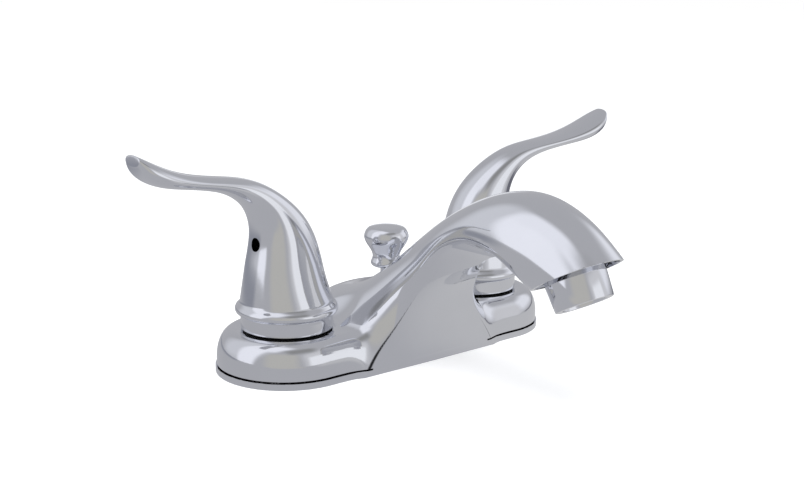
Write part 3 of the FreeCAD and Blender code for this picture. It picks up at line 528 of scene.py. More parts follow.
def crossings_along(shell, axes, values, axis):
    """Points and normals where the field's zero surface crosses the grid's edges along an axis, and the
    four cells round each edge, in order, turned so that their face points outwards."""
    low, high = (tuple(part if k == axis else slice(None) for k in range(3))
                 for part in (slice(0, -1), slice(1, None)))
    inside = values < 0
    corner = np.argwhere(inside[low] != inside[high])
    other = corner + np.eye(3, dtype=int)[axis]
    start, end = grid_points(axes, corner), grid_points(axes, other)
    at_start, at_end = values[tuple(corner.T)], values[tuple(other.T)]
    for _ in range(SURFACE_SEARCHES):
        t = np.clip(at_start / (at_start - at_end), EDGE_MARGIN, 1 - EDGE_MARGIN)[:, None]
        middle = start * (1 - t) + end * t
        at_middle = shell.gap(*middle.T)
        same = (at_middle < 0) == (at_start < 0)
        start = np.where(same[:, None], middle, start)
        end = np.where(same[:, None], end, middle)
        at_start = np.where(same, at_middle, at_start)
        at_end = np.where(same, at_end, at_middle)
    t = (at_start / (at_start - at_end))[:, None]
    points = start * (1 - t) + end * t
    around = []
    for step_second, step_third in ((-1, -1), (0, -1), (0, 0), (-1, 0)):
        cell = corner.copy()
        cell[:, (axis + 1) % 3] += step_second
        cell[:, (axis + 2) % 3] += step_third
        around.append(np.ravel_multi_index(tuple(cell.T), tuple(np.array(values.shape) - 1)))
    around = np.stack(around, 1)
    rings = np.where(inside[tuple(corner.T)][:, None], around, around[:, ::-1])
    return points, shell.slope(points), around, rings


def contour(shell, axes):
    """Closed mesh of the field's zero surface, one point in each cell it crosses, kept on creases."""
    grid = np.meshgrid(*axes, indexing="ij", sparse=True)
    values = np.concatenate([shell.gap(part, grid[1], grid[2]) for part in
                             np.array_split(grid[0], GRID_PARTS)])
    crossings, normals, cells, rings = (
        np.concatenate(parts) for parts in
        zip(*(crossings_along(shell, axes, values, axis) for axis in range(3))))
    used, place = np.unique(cells, return_inverse=True)
    place = place.ravel()
    count = np.bincount(place)
    point, normal = np.repeat(crossings, 4, axis=0), np.repeat(normals, 4, axis=0)

    def gathered(value):
        return np.bincount(place, value, len(used))

    mean, mean_normal = (np.stack([gathered(part[:, k]) for k in range(3)], 1) / count[:, None]
                         for part in (point, normal))
    pull = np.einsum("ij,ij->i", normal, point - mean[place])
    matrix = np.zeros((len(used), 3, 3))
    vector = np.zeros((len(used), 3))
    for a in range(3):
        vector[:, a] = gathered(normal[:, a] * pull)
        for b in range(a, 3):
            matrix[:, a, b] = matrix[:, b, a] = gathered(normal[:, a] * normal[:, b])
    matrix += np.eye(3) * CELL_PULL * count[:, None, None]
    solved = mean + np.linalg.solve(matrix, vector[:, :, None])[:, :, 0]
    index = np.stack(np.unravel_index(used, tuple(np.array(values.shape) - 1)), 1)
    solved = np.clip(solved, grid_points(axes, index), grid_points(axes, index + 1))
    sharp = np.linalg.norm(mean_normal, axis=1) < CREASE_COSINE
    return solved, np.searchsorted(used, rings), sharp


def corner_normals(shell, points, faces, sharp):
    """Normals for the faces' corners: the field's own, taken a little inside the face at creases."""
    normals = shell.slope(points)[faces]
    rows, columns = np.nonzero(sharp[faces])
    corners = points[faces[rows, columns]]
    towards = points[faces].mean(1)[rows] - corners
    normals[rows, columns] = shell.slope(corners + towards * CREASE_INSET, CREASE_NORMAL_STEP)
    return normals


# Meshes

def linked(name, data):
    """New object in the scene."""
    obj = bpy.data.objects.new(name, data)
    bpy.context.scene.collection.objects.link(obj)
    return obj


@contextlib.contextmanager
def edited(mesh):
    """A mesh's bmesh to work on, written back afterwards."""
    work = bmesh.new()
    work.from_mesh(mesh)
    yield work
    work.to_mesh(mesh)
    work.free()


def mesh_object(name, points, faces, material):
    """New object whose points, given in millimetres, hold its place."""
    mesh = bpy.data.meshes.new(name)
    mesh.from_pydata((np.asarray(points, float) * MM).tolist(), [], [list(map(int, f)) for f in faces])
    mesh.materials.append(material)
    mesh.update()
    return linked(name, mesh)


def shade(obj, degrees):
    """Smooth shading, split at edges sharper than the angle."""
    obj.data.polygons.foreach_set("use_smooth", [True] * len(obj.data.polygons))
    obj.data.set_sharp_from_angle(angle=math.radians(degrees))


def joined_rings(rings, closed):
    """Points and faces of a skin over rings of equal length; closed ends are fanned to their middle."""
    count = len(rings[0])
    points = np.concatenate(rings)
    turn = np.arange(count)
    following = (turn + 1) % count
    faces = []
    for low in range(0, len(points) - count, count):
        high = low + count
        faces += np.stack([low + turn, low + following, high + following, high + turn], 1).tolist()
    if closed:
        hub, base = len(points), len(points) - count
        faces += [[hub, b, a] for a, b in zip(turn, following)]
        faces += [[hub + 1, base + a, base + b] for a, b in zip(turn, following)]
        points = np.concatenate([points, [rings[0].mean(0), rings[-1].mean(0)]])
    return points, faces


def circle(radius, height, count):
    """Ring of points round Z."""
    turn = 2 * np.pi * np.arange(count) / count
    return np.stack([radius * np.cos(turn), radius * np.sin(turn), np.full(count, height)], 1)


def resampled(outline, spacing):
    """Outline with points added on its straight runs, so that shading stays even along them."""
    result = [outline[0]]
    for (r0, h0), (r1, h1) in zip(outline, outline[1:]):
        count = max(1, math.ceil(math.hypot(r1 - r0, h1 - h0) / spacing))
        result += [(r0 + (r1 - r0) * k / count, h0 + (h1 - h0) * k / count)
                   for k in range(1, count + 1)]
    return result


def turned_object(name, outline, material, loop=False):
    """Solid of revolution about Z from an outline of radius and height."""
    rings = [circle(max(radius, AXIS_RADIUS), height, TURNED_POINTS) for radius, height in outline]
    if loop:
        rings.append(rings[0])
    obj = mesh_object(name, *joined_rings(rings, not loop), material)
    with edited(obj.data) as work:
        bmesh.ops.remove_doubles(work, verts=work.verts, dist=1e-7)
        bmesh.ops.recalc_face_normals(work, faces=work.faces)
    return obj


def chamfered(outline, size):
    """Closed outline with each corner cut back twice, for a small rounded edge."""
    result = []
    for k, here in enumerate(outline):
        here = np.array(here)
        near = []
        for other in (outline[k - 1], outline[(k + 1) % len(outline)]):
            run = other - here
            near.append(here + run * min(size / math.hypot(*run), EDGE_MOST))
        result += [near[0], (near[0] + near[1]) / 4 + here / 2, near[1]]
    return result


def lever_rings(settings):
    """Rings of a lever drawn along +X with its foot at height 0: cavity, foot, body and rounded tip."""
    count = settings.points_round
    outline = resampled(CAVITY_OUTLINE, CAVITY_SPACING) + resampled(FOOT_OUTLINE, FOOT_SPACING)
    rings = [circle(radius, height, count) for radius, height in outline]
    shares = np.linspace(0, len(INNER_LINE) - 1, settings.rings_long)
    inner, outer, deep = (smoothed(line, shares) for line in (INNER_LINE, OUTER_LINE, HALF_DEPTH))
    turn = 2 * np.pi * np.arange(count) / count
    power = 1 + (LEVER_ROUNDNESS - 1) * np.clip(shares / 2, 0, 1)

    def section(k, size=1.0, push=0.0, lean=0.0):
        middle, half = (np.insert(part / 2, 1, 0) for part in (inner[k] + outer[k], outer[k] - inner[k]))
        across, sideways = (np.sign(part) * np.abs(part) ** power[k] * size
                            for part in (np.cos(turn), np.sin(turn)))
        out = np.array([-half[2], 0, half[0]]) / np.linalg.norm(half)
        if out[0] < 0:
            out = -out
        ring = middle + (across[:, None] - lean) * half + out * push
        ring[:, 1] += deep[k] * sideways
        return ring

    rings += [section(k) for k in range(len(shares))]
    for step in range(1, TIP_RINGS + 1):
        angle = math.pi / 2 * step / (TIP_RINGS + 1)
        size = math.cos(angle)
        rings.append(section(-1, size, TIP_BULGE * math.sin(angle), TIP_LEAN * (1 - size)))
    return rings


def cut_screw_hole(work):
    """Opens the round hole for the set screw in the lever's outer side, and marks its wall for painted
    shade, which darkens the chrome there.
    """
    seam = work.verts.layers.float.new("seam")
    centre = Vector((0, 0, SCREW_HOLE_HEIGHT * MM))
    radius = SCREW_HOLE_RADIUS * MM

    def off_axis(place):
        return (place - centre) * Vector((0, 1, 1))

    doomed = [f for f in work.faces if f.calc_center_median().x > SCREW_HOLE_SIDE * MM
              and off_axis(f.calc_center_median()).length < radius]
    bmesh.ops.delete(work, geom=doomed, context="FACES")
    rim = [e for e in work.edges if e.is_boundary]
    for vert in {v for e in rim for v in e.verts}:
        reach = off_axis(vert.co)
        wanted = reach.normalized() * radius - reach
        tilt = (vert.normal.y * wanted.y + vert.normal.z * wanted.z) / vert.normal.x
        vert.co += wanted + Vector((-tilt, 0, 0))
    made = bmesh.ops.extrude_edge_only(work, edges=rim)["geom"]
    for vert in [g for g in made if isinstance(g, bmesh.types.BMVert)]:
        vert.co.x -= SCREW_HOLE_DEPTH * MM
    walls = {f for e in made if isinstance(e, bmesh.types.BMEdge) for f in e.link_faces}
    for vert in {v for f in walls for v in f.verts}:
        vert[seam] = 1


# Nodes

def wire(tree, node, inputs):
    """Sets a node's inputs to values, or links them to sockets."""
    for name, value in inputs.items():
        if isinstance(value, bpy.types.NodeSocket):
            tree.links.new(value, node.inputs[name])
        else:
            node.inputs[name].default_value = value
    return node


def add_node(tree, kind, inputs=None, **settings):
    """New node in a tree, with its settings and inputs."""
    node = tree.nodes.new(kind)
    for name, value in settings.items():
        setattr(node, name, value)
    return wire(tree, node, inputs or {})


def maths(tree, operation, *values):
    """Result of an operation on values or sockets."""
    node = add_node(tree, "ShaderNodeMath", dict(enumerate(values)), operation=operation)
    return node.outputs["Value"]


def blended(tree, factor, first, second):
    """Colour between two colours or sockets."""
    first, second = (c if isinstance(c, bpy.types.NodeSocket) else (*c, 1) for c in (first, second))
    blend = add_node(tree, "ShaderNodeMix", {"Factor": factor, "A": first, "B": second},
                     data_type="RGBA")
    return blend.outputs["Result"]


def new_material(name):
    """New material, its tree and its shader."""
    material = bpy.data.materials.new(name)
    material.use_nodes = True
    return material, material.node_tree, material.node_tree.nodes["Principled BSDF"]


def mottled(tree, scale, detail, low=0.0, high=1.0):
    """Noise over the object's own coordinates, mapped to a range of values."""
    place = add_node(tree, "ShaderNodeTexCoord").outputs["Object"]
    noise = add_node(tree, "ShaderNodeTexNoise", {"Scale": scale, "Detail": detail, "Vector": place})
    spread = add_node(tree, "ShaderNodeMapRange", {
        "Value": noise.outputs["Fac"], "From Min": NOISE_RANGE[0], "From Max": NOISE_RANGE[1],
        "To Min": low, "To Max": high})
    return spread.outputs["Result"]


def bumped(tree, height, strength, distance):
    """Normal of a surface with the given heights."""
    bump = add_node(tree, "ShaderNodeBump", {"Height": height, "Strength": strength,
                                             "Distance": distance})
    return bump.outputs["Normal"]


def metal(name, colour, roughness, spread, grain_scale, grain_depth, tarnish):
    """Makes a metal with clouded tone, uneven polish and a fine surface."""
    _, tree, shader = new_material(name)
    darker = [c * (1 - tarnish) for c in colour]
    grain = mottled(tree, grain_scale, METAL_GRAIN_DETAIL)
    wire(tree, shader, {
        "Metallic": 1.0,
        "Base Color": blended(tree, mottled(tree, *METAL_CLOUDS), colour, darker),
        "Roughness": mottled(tree, *METAL_POLISH, roughness - spread, roughness + spread),
        "Normal": bumped(tree, grain, METAL_BUMP, grain_depth)})


def paint_shade_into(name):
    """Paints shade into a metal: darkens its colour where the mesh carries the painted shade attribute.
    """
    tree = bpy.data.materials[name].node_tree
    shader = tree.nodes["Principled BSDF"]
    plain = shader.inputs["Base Color"].links[0].from_socket
    seam = add_node(tree, "ShaderNodeAttribute", attribute_name="seam")
    edge = add_node(tree, "ShaderNodeMapRange", {
        "Value": seam.outputs["Fac"], "From Min": PAINTED_SHADE_RANGE[0], "From Max": PAINTED_SHADE_RANGE[1]})
    wire(tree, shader, {"Base Color": blended(tree, edge.outputs["Result"], plain, PAINTED_SHADE_COLOUR)})


def moulded(name, colour, roughness, grain_scale, grain_depth, gloss):
    """Makes a plastic, rubber or ceramic with a slight grain and tone change."""
    _, tree, shader = new_material(name)
    paler = [min(1.0, c * MOULDED_PALER[0] + MOULDED_PALER[1]) for c in colour]
    polish = [min(1.0, roughness * share) for share in MOULDED_SPREAD]
    grain = mottled(tree, grain_scale, MOULDED_GRAIN_DETAIL)
    wire(tree, shader, {
        "Specular IOR Level": gloss,
        "Base Color": blended(tree, mottled(tree, *MOULDED_CLOUDS), colour, paler),
        "Roughness": mottled(tree, *MOULDED_POLISH, *polish),
        "Normal": bumped(tree, grain, MOULDED_BUMP, grain_depth)})


def finish(slot):
    """The material made for a slot of the record."""
    return bpy.data.materials[slot.replace("_", " ")]


def new_tree(name, **inputs):
    """Geometry Nodes tree with the named inputs, and their sockets."""
    tree = bpy.data.node_groups.new(name, "GeometryNodeTree")
    tree.interface.new_socket("Geometry", in_out="INPUT", socket_type="NodeSocketGeometry")
    for label, kind in inputs.items():
        tree.interface.new_socket(label, in_out="INPUT", socket_type="NodeSocket" + kind)
    tree.interface.new_socket("Geometry", in_out="OUTPUT", socket_type="NodeSocketGeometry")
    return tree, tree.nodes.new("NodeGroupInput").outputs


def sweep(tree, curve, sides, radius, material):
    """Ends a tree: a bar with that many sides along a curve, made real, with its material set."""
    profile = add_node(tree, "GeometryNodeCurvePrimitiveCircle", {"Resolution": sides, "Radius": radius})
    bar = add_node(tree, "GeometryNodeCurveToMesh", {
        "Curve": curve, "Profile Curve": profile.outputs["Curve"], "Fill Caps": True})
    real = add_node(tree, "GeometryNodeRealizeInstances", {"Geometry": bar.outputs["Mesh"]})
    painted = add_node(tree, "GeometryNodeSetMaterial", {
        "Geometry": real.outputs["Geometry"], "Material": material})
    add_node(tree, "NodeGroupOutput", {"Geometry": painted.outputs["Geometry"]})


def thread_tree(material):
    """One helix swept with a four-sided profile."""
    tree, given = new_tree("shank thread", Radius="Float", Height="Float", Turns="Float", Size="Float")
    helix = add_node(tree, "GeometryNodeCurveSpiral", {
        "Resolution": THREAD_POINTS, "Start Radius": given["Radius"], "End Radius": given["Radius"],
        "Height": given["Height"], "Rotations": given["Turns"]})
    sweep(tree, helix.outputs["Curve"], THREAD_SIDES, given["Size"], material)
    return tree


def grating_tree(material):
    """Rings and ribs of the aerator's grating, in the plane Z = 0."""
    tree, given = new_tree("aerator grating", Rings="Int", Ribs="Int", Radius="Float", Bar="Float")
    index = add_node(tree, "GeometryNodeInputIndex").outputs["Index"]

    def repeated(curve, count, placing):
        """Copies of a curve, each placed by its index."""
        line = add_node(tree, "GeometryNodeMeshLine", {"Offset": (0, 0, 0), "Count": count})
        copies = add_node(tree, "GeometryNodeInstanceOnPoints", {
            "Points": line.outputs["Mesh"], "Instance": curve.outputs["Curve"], **placing})
        real = add_node(tree, "GeometryNodeRealizeInstances", {"Geometry": copies.outputs["Instances"]})
        return real.outputs["Geometry"]

    ring = add_node(tree, "GeometryNodeCurvePrimitiveCircle", {
        "Resolution": GRATING_RING_POINTS, "Radius": 1.0})
    share = maths(tree, "DIVIDE", maths(tree, "ADD", index, 1.0), given["Rings"])
    size = maths(tree, "MULTIPLY", share, given["Radius"])
    end = add_node(tree, "ShaderNodeCombineXYZ", {"X": given["Radius"]})
    rib = add_node(tree, "GeometryNodeCurvePrimitiveLine", {"End": end.outputs["Vector"]})
    angle = maths(tree, "DIVIDE", maths(tree, "MULTIPLY", index, 2 * math.pi), given["Ribs"])
    turn = add_node(tree, "ShaderNodeCombineXYZ", {"Z": angle})
    joined = add_node(tree, "GeometryNodeJoinGeometry")
    wire(tree, joined, {"Geometry": repeated(ring, given["Rings"], {"Scale": size})})
    wire(tree, joined, {"Geometry": repeated(rib, given["Ribs"], {"Rotation": turn.outputs["Vector"]})})
    sweep(tree, joined.outputs["Geometry"], GRATING_BAR_SIDES, given["Bar"], material)
    return tree


def grown(name, tree, values):
    """Plain mesh object made by a Geometry Nodes tree with the given inputs."""
    carrier = linked(name + "_carrier", bpy.data.meshes.new(name + "_carrier"))
    modifier = carrier.modifiers.new("grow", "NODES")
    modifier.node_group = tree
    for item in tree.interface.items_tree:
        if item.in_out == "INPUT" and item.name in values:
            modifier[item.identifier] = values[item.name]
    bpy.context.view_layer.update()
    graph = bpy.context.evaluated_depsgraph_get()
    mesh = bpy.data.meshes.new_from_object(carrier.evaluated_get(graph), depsgraph=graph)
    carrier.modifiers.clear()
    bpy.data.objects.remove(carrier)
    if not mesh.polygons:
        raise RuntimeError(name + " came out empty")
    mesh.name = name
    return linked(name, mesh)


# Studio

def direction(azimuth, elevation):
    """Unit vector towards a place in the studio: azimuth 0 is the front, 90 the right."""
    a, e = math.radians(azimuth), math.radians(elevation)
    return Vector((math.sin(a) * math.cos(e), -math.cos(a) * math.cos(e), math.sin(e)))


def studio_tone(tree, towards, surround):
    """Colour of the studio in a direction: a grey surround with soft white and dark cards."""

    def dot(vector):
        node = add_node(tree, "ShaderNodeVectorMath", {0: towards, 1: vector}, operation="DOT_PRODUCT")
        return node.outputs["Value"]

    def within(vector, ahead, half, soft):
        """Falls softly from 1 to 0 where the direction passes the card's edge."""
        tangent = maths(tree, "DIVIDE", dot(vector), ahead)
        edge = add_node(tree, "ShaderNodeMapRange", {
            "Value": maths(tree, "ABSOLUTE", tangent), "From Min": half + soft / 2,
            "From Max": half - soft / 2}, interpolation_type="SMOOTHSTEP")
        return edge.outputs["Result"]

    tone = surround
    for azimuth, elevation, wide, high, soft, colour in STUDIO_CARDS:
        middle, level = direction(azimuth, elevation), direction(azimuth + 90, 0)
        depth = dot(middle)
        ahead = maths(tree, "MAXIMUM", depth, TINY)
        mask = maths(tree, "MULTIPLY", within(level, ahead, wide, soft),
                     within(level.cross(-middle), ahead, high, soft))
        mask = maths(tree, "MULTIPLY", mask, maths(tree, "GREATER_THAN", depth, 0.0))
        tone = blended(tree, mask, tone, colour)
    return tone


def dome_material(surround):
    """The studio that the chrome reflects."""
    material, tree, shader = new_material("studio dome")
    tree.nodes.remove(shader)
    towards = add_node(tree, "ShaderNodeTexCoord").outputs["Object"]
    glow = add_node(tree, "ShaderNodeEmission", {"Color": studio_tone(tree, towards, surround)})
    wire(tree, tree.nodes["Material Output"], {"Surface": glow.outputs["Emission"]})
    return material


def floor_material(colour, surround):
    """Pale floor that keeps its shadow, fades to white before the camera and is the studio in chrome."""
    material, tree, shader = new_material("studio floor")
    path = add_node(tree, "ShaderNodeLightPath").outputs
    clouds = mottled(tree, *FLOOR_CLOUDS)
    wire(tree, shader, {
        "Roughness": FLOOR_ROUGHNESS,
        "Specular IOR Level": FLOOR_GLOSS,
        "Base Color": blended(tree, clouds, colour, [c * FLOOR_TONE for c in colour]),
        "Emission Color": WHITE,
        "Emission Strength": maths(tree, "MULTIPLY", path["Is Camera Ray"], FLOOR_GLOW)})
    place = add_node(tree, "ShaderNodeTexCoord").outputs["Object"]
    towards = add_node(tree, "ShaderNodeVectorMath", {0: place, 1: STUDIO_MIDDLE}, operation="SUBTRACT")
    tone = studio_tone(tree, towards.outputs["Vector"], surround)
    reflected = add_node(tree, "ShaderNodeEmission", {"Color": tone})
    either = add_node(tree, "ShaderNodeMixShader", {
        "Fac": path["Is Glossy Ray"], 1: shader.outputs["BSDF"], 2: reflected.outputs["Emission"]})
    wire(tree, tree.nodes["Material Output"], {"Surface": either.outputs["Shader"]})
    return material


def white_background():
    """World that lights at a plain level and shows white to the camera, in chrome and through glass."""
    world = bpy.data.worlds.new("studio")
    bpy.context.scene.world = world
    world.use_nodes = True
    tree = world.node_tree
    tree.nodes.clear()
    path = add_node(tree, "ShaderNodeLightPath").outputs
    seen = maths(tree, "MAXIMUM", path["Is Camera Ray"], path["Is Glossy Ray"])
    seen = maths(tree, "MAXIMUM", seen, path["Is Transmission Ray"])
    light = add_node(tree, "ShaderNodeBackground", {"Color": WORLD_COLOUR, "Strength": WORLD_STRENGTH})
    white = add_node(tree, "ShaderNodeBackground", {"Color": WHITE, "Strength": 1.0})
    mix = add_node(tree, "ShaderNodeMixShader", {
        "Fac": seen, 1: light.outputs["Background"], 2: white.outputs["Background"]})
    add_node(tree, "ShaderNodeOutputWorld", {"Surface": mix.outputs["Shader"]})


def stage_object(name, material, shape, **sizes):
    """Plain shape of the stage."""
    mesh = bpy.data.meshes.new(name)
    with edited(mesh) as work:
        shape(work, **sizes)
    mesh.materials.append(material)
    return linked(name, mesh)


# Panel's settings

class FAUCET_PG_body(bpy.types.PropertyGroup):
    deck_radius: bpy.props.FloatProperty(
        name="Deck end radius", description="Radius of the deck plate's rounded ends at its lip",
        default=0.0284, unit="LENGTH")
    deck_top: bpy.props.FloatProperty(
        name="Deck height", description="Height of the deck plate's flat top",
        default=0.017, unit="LENGTH")
    fillet: bpy.props.FloatProperty(
        name="Spout fillet", description="Reach of the blend between the spout and the deck plate",
        default=0.009, unit="LENGTH")
    crown_fillet: bpy.props.FloatProperty(
        name="Crown fillet", description="Reach of the blend between the crown and the deck plate",
        default=0.006, unit="LENGTH")
    crease_angle: bpy.props.FloatProperty(
        name="Crease angle", description="Part of a quarter round that the side band takes up",
        default=math.radians(62), subtype="ANGLE")
    cell: bpy.props.FloatProperty(
        name="Cell size", description="Grid spacing of the casting's mesh",
        default=0.00086, unit="LENGTH")


class FAUCET_PG_lever(bpy.types.PropertyGroup):
    left_angle: bpy.props.FloatProperty(
        name="Left angle", description="Turn of the left lever towards the front",
        default=math.radians(2), subtype="ANGLE")
    right_angle: bpy.props.FloatProperty(
        name="Right angle", description="Turn of the right lever towards the front",
        default=math.radians(11), subtype="ANGLE")
    points_round: bpy.props.IntProperty(
        name="Points round", description="Points in each ring of the lever", default=144)
    rings_long: bpy.props.IntProperty(
        name="Rings", description="Rings along the lever from its skirt to its tip", default=150)


class FAUCET_PG_fittings(bpy.types.PropertyGroup):
    thread_pitch: bpy.props.FloatProperty(
        name="Thread pitch", description="Distance between turns of the shanks' threads",
        default=0.0018, unit="LENGTH")
    thread_size: bpy.props.FloatProperty(
        name="Thread size", description="Half width of the thread's profile",
        default=0.00075, unit="LENGTH")
    screen_rings: bpy.props.IntProperty(
        name="Screen rings", description="Rings in the aerator's grating", default=5)
    screen_ribs: bpy.props.IntProperty(
        name="Screen ribs", description="Ribs across the aerator's grating", default=18)
    screen_wire: bpy.props.FloatProperty(
        name="Grating bar", description="Half thickness of the grating's bars",
        default=0.00028, unit="LENGTH")


class FAUCET_PG_finish(bpy.types.PropertyGroup):
    chrome: bpy.props.FloatVectorProperty(
        name="Chrome", description="Colour of the chrome plate", size=3, min=0, max=1,
        default=(0.80, 0.81, 0.845), subtype="COLOR")
    chrome_roughness: bpy.props.FloatProperty(
        name="Chrome roughness", description="How far the plate blurs what it reflects", default=0.07)
    brass: bpy.props.FloatVectorProperty(
        name="Brass", description="Colour of the turned brass parts", size=3, min=0, max=1,
        default=(0.72, 0.52, 0.25), subtype="COLOR")
    copper: bpy.props.FloatVectorProperty(
        name="Copper", description="Colour of the spout tube", size=3, min=0, max=1,
        default=(0.74, 0.40, 0.27), subtype="COLOR")
    steel: bpy.props.FloatVectorProperty(
        name="Steel", description="Colour of the plated steel", size=3, min=0, max=1,
        default=(0.34, 0.33, 0.31), subtype="COLOR")


class FAUCET_PG_stage(bpy.types.PropertyGroup):
    camera: bpy.props.FloatVectorProperty(
        name="Camera", description="Place of the camera", size=3,
        default=(-0.3320, -0.4011, 0.1666), subtype="XYZ", unit="LENGTH")
    aim: bpy.props.FloatVectorProperty(
        name="Aim", description="Point that the camera looks at", size=3,
        default=(-0.0058, -0.0170, 0.0448), subtype="XYZ", unit="LENGTH")
    roll: bpy.props.FloatProperty(
        name="Roll", description="Turn of the camera about its own axis",
        default=math.radians(0.651), subtype="ANGLE")
    lens: bpy.props.FloatProperty(
        name="Lens", description="Focal length on a 36 mm wide sensor", default=57.418)
    floor_colour: bpy.props.FloatVectorProperty(
        name="Floor", description="Colour of the floor", size=3, min=0, max=1,
        default=(0.86, 0.86, 0.87), subtype="COLOR")
    surround: bpy.props.FloatVectorProperty(
        name="Surround", description="Grey of the studio that the chrome reflects", size=3, min=0,
        max=1, default=(0.465, 0.467, 0.49), subtype="COLOR")


# Steps

class FAUCET_OT_finishes(bpy.types.Operator):
    """Makes the materials and gives each CAD node the one of its slot"""
    bl_idname = "faucet.finishes"
    bl_label = "Finishes"

    def execute(self, context):
        look = context.scene.faucet_finish
        metal("polished chrome", look.chrome, look.chrome_roughness, *CHROME_SURFACE)
        # Paints shade into the chrome where meshes carry the painted shade attribute
        paint_shade_into("polished chrome")
        metal("brass", look.brass, *METALS["brass"])
        metal("copper tube", look.copper, *METALS["copper"])
        metal("steel", look.steel, *METALS["steel"])
        for name, values in MOULDINGS.items():
            moulded(name, *values)
        slots = {part["node"]: part["material_slot"] for part in frame["record"]["subparts"]}
        for name, node in frame["nodes"].items():
            node.data.materials.clear()
            node.data.materials.append(finish(slots[name]))
        return {"FINISHED"}


class FAUCET_OT_body(bpy.types.Operator):
    """Makes the deck plate and spout as one casting"""
    bl_idname = "faucet.body"
    bl_label = "Body"

    def execute(self, context):
        settings = context.scene.faucet_body
        shell = BodyShell(settings)
        cell = settings.cell / MM
        right = stepped(GRID_X, [cell])
        x = np.concatenate([-right[:0:-1], right])
        y = stepped(GRID_Y, [OUTLET_CELL, cell])
        z = stepped(GRID_Z, [LIP_CELL, GROOVE_CELL, cell])
        points, faces, sharp = contour(shell, (x, y, z))
        obj = mesh_object("spout_shell", points, faces, finish("polished_chrome"))
        normals = corner_normals(shell, points, faces, sharp)
        # Painted shade: each point's darkness for the chrome, standing for shade in the groove and a
        # dark reflection along the crease
        seam = obj.data.attributes.new("seam", "FLOAT", "POINT")
        seam.data.foreach_set("value", shell.seam(points).astype(np.float32))
        obj.data.polygons.foreach_set("use_smooth", [True] * len(obj.data.polygons))
        obj.data.normals_split_custom_set(normals.reshape(-1, 3).tolist())
        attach(obj, "faucet_body")
        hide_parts("spout_body")
        return {"FINISHED"}


class FAUCET_OT_levers(bpy.types.Operator):
    """Makes both lever handles with their foot rings and set screw holes"""
    bl_idname = "faucet.levers"
    bl_label = "Levers"

    def execute(self, context):
        settings = context.scene.faucet_lever
        headings = {"left": math.pi + settings.left_angle, "right": -settings.right_angle}
        for side, sign in SIDES.items():
            points, faces = joined_rings(lever_rings(settings), True)
            obj = mesh_object(side + "_lever_handle", points, faces, finish("polished_chrome"))
            with edited(obj.data) as work:
                cut_screw_hole(work)
                bmesh.ops.recalc_face_normals(work, faces=work.faces)
            place = Matrix.Translation((sign * HALF_SPACING * MM, 0, LEVER_FOOT * MM))
            obj.data.transform(place @ Matrix.Rotation(headings[side], 4, "Z"))
            shade(obj, LEVER_SHARP)
            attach(obj, side + "_lever")
            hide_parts(side + "_handle")
        return {"FINISHED"}


class FAUCET_OT_lift(bpy.types.Operator):
    """Makes the lift rod's knob"""
    bl_idname = "faucet.lift"
    bl_label = "Lift knob"

    def execute(self, context):
        outline = [(radius, KNOB_FOOT + height) for radius, height in KNOB_OUTLINE]
        smooth = smoothed(outline, np.linspace(0, len(outline) - 1, KNOB_RINGS))
        obj = turned_object("lift_knob_turned", smooth, finish("polished_chrome"))
        shade(obj, TURNED_SHARP)
        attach(obj, "lift_rod")
        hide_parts("lift_knob")
        return {"FINISHED"}


class FAUCET_OT_aerator(bpy.types.Operator):
    """Makes the aerator's sleeve and grating, on the outlet's axis"""
    bl_idname = "faucet.aerator"
    bl_label = "Aerator"

    def execute(self, context):
        settings = context.scene.faucet_fittings
        fan = SpoutFan()
        lip = Vector((0, *fan.lip_along))
        axis = Vector((0, -lip.z, lip.y))
        turn = Matrix((lip.cross(axis), lip, axis)).transposed().to_4x4()
        place = Matrix.Translation(Vector((0, *fan.outlet)) * MM) @ turn
        bore, top = OUTLET_BORE - AERATOR_GAP, AERATOR_SINK - RIM_RECESS
        outline = [(AERATOR_TOP_RADIUS, top), (AERATOR_FOOT_RADIUS, AERATOR_DROP),
                   (AERATOR_BORE, AERATOR_DROP), (AERATOR_BORE, -OUTLET_BORE_DEPTH),
                   (bore, -OUTLET_BORE_DEPTH), (bore, top)]
        rounded = chamfered(outline, AERATOR_EDGE)
        sleeve = turned_object("aerator_sleeve", rounded, finish("polished_chrome"), loop=True)
        sleeve.data.transform(place)
        shade(sleeve, TURNED_SHARP)
        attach(sleeve, "faucet_body")
        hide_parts("aerator_housing")
        grating = grown("aerator_grating", grating_tree(finish("white_plastic")), {
            "Rings": settings.screen_rings, "Ribs": settings.screen_ribs,
            "Radius": (AERATOR_BORE - GRATING_GAP) * MM, "Bar": settings.screen_wire})
        sunk = Matrix.Translation((0, 0, (AERATOR_DROP - GRATING_DEPTH) * MM))
        grating.data.transform(place @ sunk)
        shade(grating, TURNED_SHARP)
        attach(grating, "faucet_body")
        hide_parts("aerator_screen")
        return {"FINISHED"}


class FAUCET_OT_threads(bpy.types.Operator):
    """Makes the threads on the shanks below the basin"""
    bl_idname = "faucet.threads"
    bl_label = "Shank threads"

    def execute(self, context):
        settings = context.scene.faucet_fittings
        height = (THREAD_TOP - THREAD_FOOT) * MM
        for side, sign in SIDES.items():
            obj = grown(side + "_shank_thread", thread_tree(finish("brass")), {
                "Radius": (SHANK_RADIUS - THREAD_SINK) * MM, "Height": height,
                "Turns": height / settings.thread_pitch, "Size": settings.thread_size})
            obj.data.transform(Matrix.Translation((sign * HALF_SPACING * MM, 0, THREAD_FOOT * MM)))
            shade(obj, THREAD_SHARP)
            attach(obj, "faucet_body")
        return {"FINISHED"}


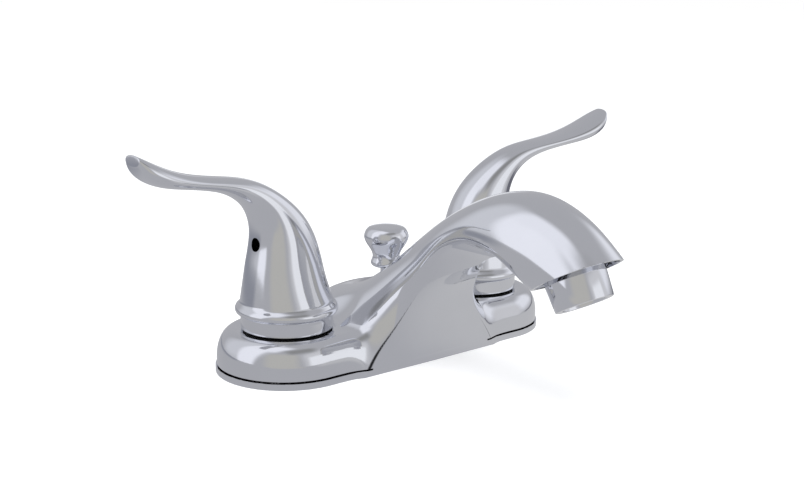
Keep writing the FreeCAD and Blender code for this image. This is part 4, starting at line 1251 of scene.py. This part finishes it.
class FAUCET_OT_stage(bpy.types.Operator):
    """Makes the camera, lamp, floor and the studio that the chrome reflects"""
    bl_idname = "faucet.stage"
    bl_label = "Stage"

    def execute(self, context):
        settings = context.scene.faucet_stage
        scene = context.scene
        camera = linked("camera", bpy.data.cameras.new("camera"))
        camera.data.lens = settings.lens
        camera.data.sensor_width = SENSOR_WIDTH
        camera.data.clip_start = CLIP_START
        place, aim = Vector(settings.camera), Vector(settings.aim)
        look = (aim - place).to_track_quat("-Z", "Y").to_matrix().to_4x4()
        camera.matrix_world = Matrix.Translation(place) @ look @ Matrix.Rotation(settings.roll, 4, "Z")
        scene.camera = camera

        lamp = linked("overhead softbox", bpy.data.lights.new("overhead softbox", "AREA"))
        lamp.data.shape = "DISK"
        lamp.data.size = LAMP_SIZE
        lamp.data.energy = LAMP_ENERGY
        lamp.location = LAMP_PLACE
        lamp.rotation_euler = [math.radians(angle) for angle in LAMP_TURN]
        lamp.visible_glossy = False

        surround = tuple(settings.surround)
        floor = stage_object(
            "floor", floor_material(settings.floor_colour, surround), bmesh.ops.create_circle,
            cap_ends=True, segments=FLOOR_SIDES, radius=FLOOR_RADIUS,
            matrix=Matrix.Translation((0, 0, FLOOR_HEIGHT)))
        dome = stage_object("studio_dome", dome_material(surround), bmesh.ops.create_icosphere,
                            subdivisions=DOME_SPLITS, radius=DOME_RADIUS)
        for ray in ("camera", "diffuse", "shadow", "transmission", "volume_scatter"):
            setattr(dome, "visible_" + ray, False)
        white_background()
        scene.view_settings.view_transform = "Standard"
        return {"FINISHED"}


class FAUCET_PT_panel(bpy.types.Panel):
    """Lists the faucet's steps and sizes"""
    bl_idname = "FAUCET_PT_panel"
    bl_label = "Basin faucet"
    bl_space_type = "VIEW_3D"
    bl_region_type = "UI"
    bl_category = "Faucet"

    def draw(self, context):
        for operator in STEPS:
            self.layout.operator(operator.bl_idname)
        for name, group in SETTINGS.items():
            box = self.layout.box()
            for prop in group.__annotations__:
                box.prop(getattr(context.scene, name), prop)


STEPS = (FAUCET_OT_finishes, FAUCET_OT_body, FAUCET_OT_levers, FAUCET_OT_lift, FAUCET_OT_aerator,
         FAUCET_OT_threads, FAUCET_OT_stage)
SETTINGS = {"faucet_body": FAUCET_PG_body, "faucet_lever": FAUCET_PG_lever,
            "faucet_fittings": FAUCET_PG_fittings, "faucet_finish": FAUCET_PG_finish,
            "faucet_stage": FAUCET_PG_stage}


def register():
    for group in SETTINGS.values():
        bpy.utils.register_class(group)
    for name, group in SETTINGS.items():
        setattr(bpy.types.Scene, name, bpy.props.PointerProperty(type=group))
    for step in STEPS:
        bpy.utils.register_class(step)
    bpy.utils.register_class(FAUCET_PT_panel)


def unregister():
    bpy.utils.unregister_class(FAUCET_PT_panel)
    for step in reversed(STEPS):
        bpy.utils.unregister_class(step)
    for name, group in SETTINGS.items():
        delattr(bpy.types.Scene, name)
        bpy.utils.unregister_class(group)


def main():
    register()
    bpy.ops.faucet.finishes()
    bpy.ops.faucet.body()
    bpy.ops.faucet.levers()
    bpy.ops.faucet.lift()
    bpy.ops.faucet.aerator()
    bpy.ops.faucet.threads()
    bpy.ops.faucet.stage()


if __name__ == "__main__":
    main()
